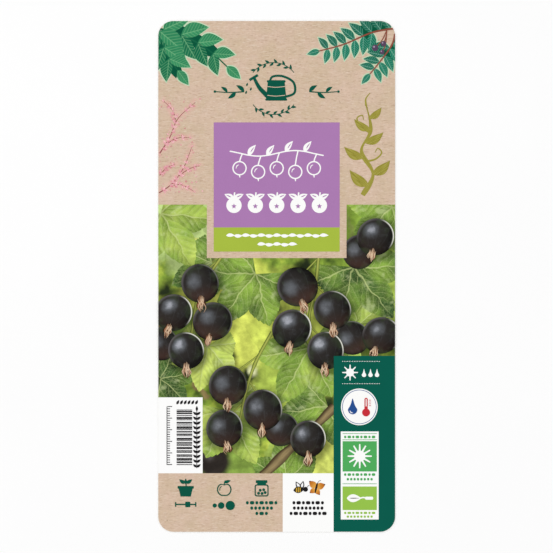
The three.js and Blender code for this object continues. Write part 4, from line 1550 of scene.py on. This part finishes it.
# %% [markdown]
# A ripe berry is nearly black, and it shows its roundness by light alone: a soft grey sheen above its
# middle, a small bright spot in it, a thin bright rim where the sky catches its edge, a weaker one on
# the other side, faint green patches where it mirrors the leaves, and a brown red where light shines
# through below. The print holds all this as flat ink. The finish works it out from the disc's own
# coordinates, which give the direction that each point of the round berry faces.

# %% Round berry
berry_finish = Finish("berry_print_ink", 0.45, "berry_print")
u, v = berry_finish.own()
reach = u * u + v * v
height = (1 - reach).most(0.0) ** 0.5


def facing(x, y, z):
    """How far each point of the round berry turns to a direction, from -1 to 1."""
    return u * x + v * y + height * z


def on_side(x, y):
    """1 where a point lies towards a side of the berry, and -1 where it lies away from it."""
    return (u * x + v * y) / (reach + 0.001) ** 0.5


print("berry node tree starts with", len(berry_finish.tree.nodes), "nodes")

# %% Berry finish
BERRY_BLACK = tint(15, 14, 12)
BERRY_BODY = tint(47, 44, 42)
BERRY_SHEEN = tint(126, 131, 138)
BERRY_SPARK = tint(206, 208, 218)
BERRY_RED = tint(80, 53, 43)
BERRY_RIM = tint(238, 238, 226)
BERRY_BACK = tint(122, 116, 118)
BERRY_GREEN = tint(58, 70, 48)
RIM_SIDE = around(0, 0, 1, 34.0)
BACK_SIDE = (-0.86, 0.51)
POLE_SIDE = (0.0, 0.593, 0.805)
POLE_ACROSS = (-0.994, -0.081, 0.059)
MERIDIANS = 5

tone = berry_finish.tone()
lit = facing(-0.36, 0.40 - tone * 0.34, 0.856 + tone * 0.07)
clouded = lit + (berry_finish.noise(2.4, 3.0, 0.55) - 0.5) * 0.10
body = berry_finish.mix(clouded.fade(0.05, 1.05), BERRY_BLACK, BERRY_BODY)
reflected = berry_finish.noise(5.0, 2.0, shift=26.0).fade(0.46, 0.62)
body = body.toward(BERRY_GREEN, reflected * height.fade(1.0, 0.5) * 0.5)
low_side = v.fade(0.15, -0.9) * height.fade(0.1, 0.7)
body = body.toward(BERRY_RED, low_side * (tone * 0.62))
sheen = clouded.fade(0.78, 1.04) ** 2.2
body = body.toward(BERRY_SHEEN, sheen * (0.86 - tone * 0.3))
spark = clouded.fade(0.945, 1.01) ** 2.0
body = body.toward(BERRY_SPARK, spark * tone.fade(1.0, 0.1) * 0.5)
turn = facing(*POLE_ACROSS).angle_over(facing(*POLE_SIDE))
line = (turn * MERIDIANS).sine().size().fade(0.16, 0.0)
body = body.toward(BERRY_SHEEN, line * height * 0.07)
rim = reach.fade(0.82, 0.96) * on_side(*RIM_SIDE).fade(0.45, 0.98) * reach.fade(1.01, 0.975)
body = body.toward(BERRY_RIM, rim * tone.fade(0.95, 0.35) * 0.95)
back_light = reach.fade(0.70, 0.96) * on_side(*BACK_SIDE).fade(0.3, 1.0)
body = body.toward(BERRY_BACK, back_light * 0.46)
bloom = berry_finish.noise(3.0, 4.0, 0.65, shift=6.0).fade(0.5, 0.75)
body = body.toward(BERRY_SHEEN, bloom * height * 0.10)
berry_finish.colour(body.scaled(berry_finish.noise(0.4, 2.0) * 0.3 + 0.85))

# %% [markdown]
# A berry is cut as a round film with a softened rim. It is a little narrower than it is high, and it is
# turned before it is squashed along its own axis, so no two berries have quite the same outline. Its
# light has to stay on the same side, so its own coordinates are turned back.

# %% Inside the picture
def in_picture(x, y):
    """Whether a place lies on the picture, by how often a line to its right crosses the outline."""
    inside = False
    for (x0, y0), (x1, y1) in zip(picture_outline, picture_outline[1:] + picture_outline[:1]):
        if (y0 > y) != (y1 > y) and x < x0 + (x1 - x0) * (y - y0) / (y1 - y0):
            inside = not inside
    return inside


def kept_in_picture(film, loop):
    """Cuts a film at the picture's edge if its outline runs over it."""
    return film if all(in_picture(x, y) for x, y in loop) else trimmed(film, picture_outline)


middles = [in_picture(x, y) for x, y, _ in BERRIES]
print("berries with their middle on the picture:", sum(middles), "of", len(BERRIES))

# %% Berries
BERRY_TOP = FILM_FOOT + 0.16
BERRY_RISE = -0.0005
REAR_BERRY_TOP = BERRY_TOP - 0.04
BERRY_SIDES = 72
BERRY_SQUASH = 0.955
BERRY_RIM_WIDTH = 0.02
DISC_TURN = 3
BACK_TURN = DISC_TURN - 1
REAR_BERRIES = [(35.5, 10.5, 7.4), (32.5, -26.5, 7.6), (-49.5, -29, 7.2), (2, -66, 7.4)]


def berry_disc(name, x, y, radius, top, turn, tone):
    """A round film with a softened rim, cut straight where the picture ends."""
    outline = {"vertices": BERRY_SIDES, "radius": radius}
    bpy.ops.mesh.primitive_circle_add(**outline, fill_type="NGON", location=(0, 0, 0))
    disc = bpy.context.object
    disc.name = name
    bpy.ops.object.mode_set(mode="EDIT")
    bpy.ops.mesh.select_all(action="SELECT")
    bpy.ops.mesh.extrude_region_move(TRANSFORM_OT_translate={"value": (0, 0, top - FILM_FOOT)})
    bpy.ops.mesh.select_all(action="SELECT")
    bpy.ops.mesh.normals_make_consistent(inside=False)
    bpy.ops.object.mode_set(mode="OBJECT")
    bevel_edges(disc, lambda first, second: min(first.z, second.z) > LEVEL, BERRY_RIM_WIDTH, 1)
    alone(disc)
    disc.location = (x, y, FILM_FOOT)
    disc.rotation_euler.z = math.radians(turn * DISC_TURN)
    disc.scale.x = BERRY_SQUASH
    bpy.ops.object.transform_apply(location=True, rotation=True, scale=True)
    disc = kept_in_picture(disc, disc_loop(x, y, radius, 24))
    round_at = local_frame(x, y, turn * DISC_TURN, radius)
    cos, sin = around(0, 0, 1, turn * BACK_TURN)

    def own_at(px, py):
        across, up = round_at(px, py)
        across = across / BERRY_SQUASH
        return across * cos - up * sin, across * sin + up * cos

    return mapped(disc, own_at, tone)


draw = random.Random(11)
berry_turns = []
for i, (x, y, radius) in enumerate(REAR_BERRIES):
    turn = draw.uniform(-30, 30)
    piece = berry_disc(f"rear_berry_{i + 1}", x, y, radius, REAR_BERRY_TOP, turn, draw.uniform(0.6, 1.0))
    settle(piece, berry_finish)
for i, (x, y, radius) in enumerate(BERRIES):
    turn = draw.uniform(-26, 26)
    berry_turns.append(turn)
    top = BERRY_TOP + BERRY_RISE * i
    piece = berry_disc(f"berry_skin_{i + 1}", x, y, radius, top, turn, draw.random())
    settle(piece, berry_finish, f"berry_{i + 1}")

# %% [markdown]
# A dry brown tail, the rest of the flower, hangs from each berry. It is a tuft of short curled
# strands, dark ones below and tan and cream ones above, and each strand is a tapering stroke. Chance
# sets where a strand starts, how long and wide it is and how it curls, from a seed for each berry.

# %% Tail finish
TAIL_DARK = tint(50, 31, 18)
TAIL_WARM = tint(158, 108, 78)
TAIL_LIGHT = tint(226, 198, 166)
TAIL_ROOT = tint(52, 34, 26)

tail_finish = Finish("dry_tail_ink", 0.7, "wood_print")
along, across = tail_finish.own()
tone = tail_finish.tone()
strand = tail_finish.mix(tone.fade(0.0, 0.5), TAIL_DARK, TAIL_WARM).toward(TAIL_LIGHT, tone.fade(0.5, 1.0))
strand = strand.toward(TAIL_ROOT, along.fade(0.35, 0.0) * 0.6)
strand = strand.scaled(across.size().fade(1.0, 0.2) * 0.55 + 0.55)
tail_finish.colour(strand.scaled(tail_finish.noise(0.5, 3.0, 0.6) * 0.8 + 0.65))

# %% Berry tails
# How many strands of a kind, their least and greatest tone, and their least and greatest width
STRAND_KINDS = [(9, 0.0, 0.12, 0.5, 0.85), (7, 0.35, 0.6, 0.38, 0.56), (10, 0.7, 1.0, 0.3, 0.48)]
STRAND_SPANS = 4
STRAND_RISE = 0.0016
TAIL_TOP = THIRD_TOP - 0.005
TAIL_FOOT = BERRY_TOP - 0.02
TAIL_SEAT = 0.62
TAIL_HALF = 1.6
TAIL_CROWN = 1.3
TAIL_SPREAD = 5


def berry_tail(name, x, y, radius, turn, seed):
    """A tuft at a berry's low side, leaning with the berry."""
    pick = random.Random(seed)
    lean = math.radians(turn * 0.7 - 90 + pick.uniform(-8, 8))
    cos, sin = math.cos(lean), math.sin(lean)
    full = pick.uniform(6.0, 7.8)
    strands = []
    kinds = [kind for kind in STRAND_KINDS for _ in range(kind[0])]
    for i, (_, least_tone, most_tone, least_width, most_width) in enumerate(kinds):
        share = pick.uniform(-1, 1)
        angle = lean - math.radians(share * TAIL_SPREAD)
        length = full * (1 - 0.35 * share**2) * pick.uniform(0.65, 1.0)
        curl = pick.uniform(-0.7, 0.7)
        shift = share * TAIL_HALF * pick.uniform(0.5, 1.0)
        drop = TAIL_SEAT * radius + TAIL_CROWN * share**2 + pick.uniform(-0.3, 0.3)
        start_x, start_y = x - shift * sin + drop * cos, y + shift * cos + drop * sin
        places = []
        for t in (step / STRAND_SPANS for step in range(STRAND_SPANS + 1)):
            bend = angle + curl * t * math.sin(3 * t)
            places.append((start_x + length * t * math.cos(bend), start_y + length * t * math.sin(bend)))
        top = TAIL_TOP - STRAND_RISE * (len(kinds) - i)
        width_at = brush(pick.uniform(least_width, most_width), 0.55, 0.2)
        film = kept_in_picture(stroke_piece(name, places, width_at, top, 10, TAIL_FOOT), places)
        strands.append(toned(film, pick.uniform(least_tone, most_tone)))
    return joined(name, strands)


for i, ((x, y, radius), turn) in enumerate(zip(BERRIES, berry_turns)):
    settle(berry_tail(f"berry_tail_{i + 1}", x, y, radius, turn, 40 + i), tail_finish)

# %% [markdown]
# The white panel at the left holds a plain pattern of black bars, stacked up the card. Two short lists
# of widths and gaps, of unlike lengths, repeat side by side, so the pattern looks uneven and still
# takes one loop. A ruler with short and long ticks stands at its left, a leafy sprig at its right, and
# six seeds lie in a row above it.

# %% Stripes
BARS_LEFT, BARS_FOOT, BARS_RIGHT, BARS_HEAD = -43.1, -81.2, -36.4, -56.1
BAR_WIDTHS = [1, 2, 1, 3, 1, 2, 2, 1, 3, 1]
BAR_GAPS = [2, 1, 1, 2, 1, 3, 1, 2]
BAR_CELLS = 95
CELL = (BARS_HEAD - BARS_FOOT) / BAR_CELLS
BAR_SPREAD = 0.02

bars = []
cell = 0
while cell < BAR_CELLS - max(BAR_WIDTHS):
    width = BAR_WIDTHS[len(bars) % len(BAR_WIDTHS)]
    gap = BAR_GAPS[len(bars) % len(BAR_GAPS)]
    low = BARS_FOOT + cell * CELL
    high = min(low + width * CELL, BARS_HEAD)
    bars.append(rounded_loop(BARS_LEFT, low - BAR_SPREAD, BARS_RIGHT, high + BAR_SPREAD, 0.05, 2))
    cell += width + gap
stamp("stripe_bars", [bars], black_ink, "code_bars")

# %% Ruler, sprig and seeds
RULER_LEFT = -47.4
RULER_LINE = 0.28
TICK_LEFT = RULER_LEFT + 0.35
LONG_TICK, SHORT_TICK, TICK_LINE = 2.0, 1.1, 0.3
TICKS = 26
SPRIG_X = -34.4
SPRIG_FOOT, SPRIG_HEAD = -82.6, -57
SPRIG_STEP = 2.05
SPRIG_PAIRS = 12
SEED_STEP = 1.62

ticks = [box_loop(RULER_LEFT, BARS_FOOT, RULER_LEFT + RULER_LINE, BARS_HEAD)]
for i in range(TICKS):
    right = TICK_LEFT + (SHORT_TICK if i % 5 else LONG_TICK)
    ticks.append(box_loop(TICK_LEFT, BARS_FOOT + i, right, BARS_FOOT + i + TICK_LINE))
stamp("ruler_ticks", [ticks], black_ink)
side_sprig = [[stroke_loop([(SPRIG_X, SPRIG_FOOT), (SPRIG_X, SPRIG_HEAD)], even(0.3), 8)]]
for i in range(SPRIG_PAIRS):
    for heading in (38, 142):
        side_sprig.append([blade_loop(SPRIG_X, SPRIG_FOOT + 0.4 + i * SPRIG_STEP, heading, 2.1, 1.05)])
side_sprig.append([blade_loop(SPRIG_X, SPRIG_HEAD - 1, 90, 2.2, 1.0)])
stamp("code_side_sprig", side_sprig, black_ink)
seeds = [blade_loop(BARS_LEFT + SEED_STEP * i, BARS_HEAD + 1, 60, 2.1, 1.05) for i in range(6)]
stamp("code_head_seeds", [seeds], black_ink)

# %% [markdown]
# Plain figures stand along the footer: a pot, an apple and a jar in dark green on kraft, and a bee and
# a butterfly on white. Each could be one long outline, but a few simple shapes that overlap are easier
# to read and to change, and the union fuses them. Each figure is drawn round a middle of 0, 0, so that
# its numbers stay small, and is then moved to its place.

# %% Pot, apple and jar
FIGURE_Y = -91.2
POT_X = -39.2
APPLE_X = -22.6
JAR_X = -6.5
JAR_FRUIT = ((-1.3, -2.2), (0.2, -2.3), (1.5, -1.9), (-0.6, -0.9), (0.9, -0.7))

pot = [
    [[(-2.2, -3.6), (2.2, -3.6), (3.1, 0.2), (-3.1, 0.2)]],
    [rounded_loop(-3.5, -0.2, 3.5, 0.9, 0.3)],
    [stroke_loop([(0, 0), (0.2, 1.6), (0, 3)], even(0.45), 12)],
    [blade_loop(0, 2.2, 150, 3.2, 1.6, 0.08)],
    [blade_loop(0, 2.2, 30, 3.2, 1.6, -0.08)],
    [blade_loop(0, 1.6, 90, 2.6, 1.1)],
]
stamp("pot_sign", placed(POT_X, FIGURE_Y, pot), fine_green_ink, "pot_figure")


def apple_loop(radius, steps=72):
    """An apple's outline dips deep at its head and a little at its foot."""
    loop = []
    for i in range(steps):
        angle = 2 * math.pi * i / steps
        from_foot = abs(math.pi - (angle + 1.5 * math.pi) % (2 * math.pi))
        head_dip = 0.28 * math.exp(-(((math.pi - from_foot) / 0.42) ** 2))
        foot_dip = 0.08 * math.exp(-((from_foot / 0.35) ** 2))
        up = radius * (1 - head_dip - foot_dip) * math.sin(angle)
        loop.append((radius * 1.05 * math.cos(angle), up - 0.6))
    return loop


apple = [
    [apple_loop(3.0), apple_loop(2.5)],
    [stroke_loop([(0, 1.2), (0.1, 2.3), (0.5, 3.3)], even(0.45), 12)],
    [blade_loop(0.2, 2.2, 22, 2.8, 1.3, 0.05)],
    [stroke_loop([(-1.9, -1.2), (-1.8, 0.1), (-1.0, 0.8)], brush(0.4, 0.5, 0.3), 10)],
]
stamp("apple_sign", placed(APPLE_X, FIGURE_Y, apple), fine_green_ink, "apple_figure")
jar = [
    [rounded_loop(-3, -3.6, 3, 1.6, 0.9), rounded_loop(-2.5, -3.1, 2.5, 1.1, 0.6)],
    [rounded_loop(-1.9, 1.4, 1.9, 2.4, 0.1)],
    [rounded_loop(-2.5, 2.2, 2.5, 3.4, 0.3)],
]
stamp("jar_sign", placed(JAR_X, FIGURE_Y, jar), fine_green_ink, "jar_figure")
fruit = [[disc_loop(x, y, 0.62, 20) for x, y in JAR_FRUIT]]
stamp("jar_fruit", placed(JAR_X, FIGURE_Y, fruit), fine_green_ink)

# %% Bee
BEE_X = 10.2
BAND_FOOT = FIRST_TOP - 0.01
bee_yellow_ink = ink("bee_yellow_ink", tint(232, 186, 60), 0.05, 0.08, "amber_print")

bee = [
    [blade_loop(-3, -1, 8, 5, 2.8)],
    [disc_loop(2.2, -0.5, 1.05, 28)],
    [blade_loop(0, -0.4, 122, 3.8, 2), blade_loop(-0.3, 0.2, 122, 2.6, 1.1)],
    [blade_loop(0.4, -0.4, 76, 3.6, 1.8), blade_loop(0.5, 0.2, 76, 2.4, 1.0)],
    [stroke_loop([(2.7, 0), (3.2, 0.9), (3.9, 1.1)], even(0.2), 8)],
]
stamp("bee_body", placed(BEE_X, FIGURE_Y, bee), black_ink, "bee_figure")
bands = [box_loop(x, -2.2, x + 0.34, 0.9) for x in (-1.9, -1.1, -0.3)]
bands, (abdomen,) = placed(BEE_X, FIGURE_Y, [bands, [blade_loop(-2.8, -1, 8, 4.6, 2.2)]])
bee_bands = cut_film("bee_bands", bands, FIRST_TOP + OVERPRINT, BAND_FOOT)
settle(trimmed(bee_bands, abdomen), bee_yellow_ink)

# %% Butterfly
BUTTERFLY_X = 17.0
# Each row is a wing's root, its heading, its length and its width
WINGS = [
    (0.0, 0.2, 136, 4.2, 2.9),
    (0.0, 0.2, 20, 4.2, 2.9),
    (-0.2, -0.4, 212, 3.1, 2.2),
    (-0.2, -0.4, -56, 3.1, 2.2),
]
WING_TOP = FIRST_TOP - 0.01
WING_FALL = 0.003

butterfly_finish = Finish("butterfly_ink", 0.6, "amber_print")
along, across = butterfly_finish.own()
wing = butterfly_finish.mix(along.fade(0.1, 0.8), tint(232, 168, 72), tint(196, 116, 38))
wing = wing.toward(tint(70, 44, 28), along.fade(0.80, 0.92))
wing_vein = ((across * 14).part() - 0.5).size().fade(0.10, 0.03)
butterfly_finish.colour(wing.toward(tint(110, 62, 26), wing_vein * 0.5))
wings = []
for i, (dx, dy, degrees, length, width) in enumerate(WINGS):
    x, y = BUTTERFLY_X + dx, FIGURE_Y + dy
    film = cut_film("wing", [blade_loop(x, y, degrees, length, width)], WING_TOP - WING_FALL * i)
    wings.append(mapped(film, local_frame(x, y, degrees, length)))
settle(joined("butterfly_wings", wings), butterfly_finish, "butterfly_figure")
insect = [
    [stroke_loop([(-0.5, -2.1), (0, 0), (0.5, 2.1)], brush(0.9, 0.4, 0.5), 16)],
    [stroke_loop([(0.5, 2.0), (1.2, 3.0), (2.0, 3.3)], even(0.18), 8)],
]
stamp("butterfly_body", placed(BUTTERFLY_X, FIGURE_Y, insect), black_ink)

# %% [markdown]
# Plain signs stand below the figures: a line for the year with a thick mark at the harvest, three
# discs of growing size, and short rows of dashes. One function lays every row of dashes, because the
# plate at the right has rows of its own, at a smaller scale.

# %% Signs below the figures
SIGN_Y = FIGURE_Y - 7.4
YEAR_HALF = 4.6
HARVEST_X = 0.9
SIZE_DISCS = ((-4.1, 0.9), (-1.3, 1.4), (2.6, 2.0))
DASHES = (1.2, 1.9)

year = [
    [box_loop(-YEAR_HALF, 0.1, YEAR_HALF, 0.65)],
    [rounded_loop(HARVEST_X - 1.1, -0.8, HARVEST_X + 1.1, 1.55, 0.4)],
    [box_loop(-YEAR_HALF, -0.6, -YEAR_HALF + 0.55, 1.35)],
    [box_loop(YEAR_HALF - 0.55, -0.6, YEAR_HALF, 1.35)],
]
stamp("year_line", placed(POT_X, SIGN_Y, year), fine_green_ink)
discs = [[disc_loop(x, -0.1, radius, 36) for x, radius in SIZE_DISCS]]
stamp("size_discs", placed(APPLE_X, SIGN_Y, discs), fine_green_ink)


def dash_rows(x, y, rows, height=1.4, pitch=2.3, gap=0.5, scale=1.0):
    """Rows of short and long dashes round x, each row with its own count."""
    loops = []
    for row, count in enumerate(rows):
        widths = [scale * DASHES[(i * (i + row)) % 2] for i in range(count)]
        left = x - (sum(widths) + gap * (count - 1)) / 2
        foot = y - row * pitch
        for width in widths:
            loops.append(rounded_loop(left, foot, left + width, foot + height, height / 2.4, 3))
            left += width + gap
    return loops


note_left, _, note_right, _ = edges("note_ground")
note_x = (note_left + note_right) / 2
stamp("jar_dashes", [dash_rows(JAR_X, SIGN_Y + 0.4, (7, 6, 3))], fine_green_ink)
stamp("insect_dashes", [dash_rows(note_x, SIGN_Y + 0.4, (7, 8, 8))], black_ink)

# %% [markdown]
# The dark green side panel says how the plant is kept: a sun and three drops between two dotted
# rules, a round badge with a drop and a thermometer, and a white plate with two coloured blocks. A
# press lays one colour at a time, so each colour is a film of its own, and a film that is printed on
# another one stands a little higher.

# %% Side panel
SUN_X, SUN_Y = 31.6, -41.4
DROP_XS = (37.6, 40.4, 43.2)
RULE_LEFT, RULE_RIGHT = 28.4, 44.2
RULE_YS = (-36.6, -46.2)
RULE_DOTS = 23


def drop_loop(x, y, radius, tip, steps=40):
    """A drop: round below, with a point straight above its centre."""
    loop = []
    for i in range(steps):
        angle = 2 * math.pi * i / steps
        lift = max(math.sin(angle), 0) ** 5 * (tip - radius)
        pinch = 1 - 0.55 * max(math.sin(angle), 0) ** 1.6
        loop.append((x + radius * math.cos(angle) * pinch, y + radius * math.sin(angle) + lift))
    return loop


def sun_outlines(x, y, radius, reach, rays, width):
    """A disc in a ring of tapering rays."""
    outlines = [[disc_loop(x, y, radius, 40)]]
    for i in range(rays):
        ray = [around(x, y, distance, 360 * i / rays) for distance in (0.6 * radius, reach)]
        outlines.append([stroke_loop(ray, even(width, width * 0.6), 2)])
    return outlines


stamp("side_sun_rays", sun_outlines(SUN_X, SUN_Y, 1.7, 3.4, 8, 0.7), white_ink, "side_sun")
dot_step = (RULE_RIGHT - RULE_LEFT) / (RULE_DOTS - 1)
dots = [disc_loop(RULE_LEFT + dot_step * i, y, 0.17, 10) for y in RULE_YS for i in range(RULE_DOTS)]
stamp("dotted_rules", [dots], white_ink)
stamp("side_drops", [[drop_loop(x, SUN_Y - 1, 0.95, 2.6) for x in DROP_XS]], white_ink)

# %% Badge
BADGE_X, BADGE_Y, BADGE_RADIUS = 35.6, -56.2, 7.9
badge_over = {"top": SECOND_TOP + OVERPRINT, "foot": SECOND_TOP}


def on_badge(name, outlines, finish, *nodes, **heights):
    """Prints a figure that is drawn round the middle of the badge."""
    stamp(name, placed(BADGE_X, BADGE_Y, outlines), finish, *nodes, **heights)


on_badge("badge_disc", [[disc_loop(0, 0, BADGE_RADIUS, 96)]], white_ink, "badge")
ring = ring_loops(0, 0, BADGE_RADIUS - 0.5, 0.25, 96)
on_badge("badge_ring", [ring], blue_ink, top=FIRST_TOP + OVERPRINT, foot=FIRST_TOP)
on_badge("badge_water", [[drop_loop(-2.9, -1.2, 2.0, 4.8)]], blue_ink, "badge_drop", top=SECOND_TOP)
water_shine = stroke_loop([(-4.1, -1.6), (-3.6, -2.4), (-2.8, -2.6)], brush(0.4, 0.5, 0.3), 10)
on_badge("badge_water_shine", [[water_shine]], white_ink, **badge_over)
gauge = [[disc_loop(2.9, -2.4, 1.7, 40)], [rounded_loop(2.2, -2.4, 3.6, 3.9, 0.65)]]
on_badge("badge_gauge", gauge, red_ink, "badge_thermometer", top=SECOND_TOP)
on_badge("badge_gauge_slot", [[rounded_loop(2.7, 0.2, 3.1, 3.4, 0.18)]], white_ink, **badge_over)
marks = [box_loop(4.1, 0.4 + 0.8 * i, 5.0, 0.62 + 0.8 * i) for i in range(4)]
on_badge("badge_marks", [marks], red_ink, top=SECOND_TOP)

# %% Plate
UPPER_LEFT, UPPER_FOOT, UPPER_RIGHT, UPPER_HEAD = edges("plate_upper_block")
LOWER_FOOT = edges("plate_lower_block")[1]
PLATE_LEFT, _, PLATE_RIGHT, PLATE_HEAD = edges("plate")
PLATE_X = (PLATE_LEFT + PLATE_RIGHT) / 2
PLATE_SUN_Y = -77.4
TROWEL_Y = -95.5
RULE_THICK = 0.2
DASH_SCALE = 0.8

plate_sun = sun_outlines(PLATE_X, PLATE_SUN_Y, 2.4, 5.2, 12, 0.9)
stamp("plate_sun_rays", plate_sun, white_ink, "plate_sun", top=THIRD_TOP)
trowel = [
    [blade_loop(-5.6, 0, 0, 6.4, 3.4, 0, 30)],
    [stroke_loop([(0.2, 0), (1.6, 0.3), (2.6, 0)], even(0.6), 16)],
    [rounded_loop(2.3, -0.65, 5.8, 0.65, 0.5)],
]
stamp("plate_trowel_blade", placed(PLATE_X, TROWEL_Y, trowel), white_ink, "plate_trowel", top=THIRD_TOP)
trowel_rib = [[blade_loop(PLATE_X - 4.6, TROWEL_Y, 0, 4.6, 0.35)]]
stamp("trowel_rib", trowel_rib, plate_lime_ink, top=THIRD_TOP, foot=SECOND_TOP)

rule_feet = (PLATE_HEAD - 1.0, UPPER_HEAD + 0.55, UPPER_FOOT - 5.4)
rules = [box_loop(UPPER_LEFT, y, UPPER_RIGHT, y + RULE_THICK) for y in rule_feet]
stamp("plate_rules", [rules], plate_green_ink, top=SECOND_TOP)
green_dashes = dash_rows(PLATE_X, PLATE_HEAD - 2.9, (8,), 1.1, scale=DASH_SCALE)
green_dashes += dash_rows(PLATE_X, UPPER_FOOT - 1.9, (8, 8), 1.1, 2.0, scale=DASH_SCALE)
stamp("plate_dashes_green", [green_dashes], plate_green_ink, top=SECOND_TOP)
lime_dashes = dash_rows(PLATE_X, LOWER_FOOT - 1.7, (8, 8), 0.9, 1.6, scale=DASH_SCALE)
stamp("plate_dashes_lime", [lime_dashes], plate_lime_ink, top=SECOND_TOP)

# %% [markdown]
# Last comes the box of the finished label, from every piece that is shown and is not the floor.

# %% Sizes and the end
low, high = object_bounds()
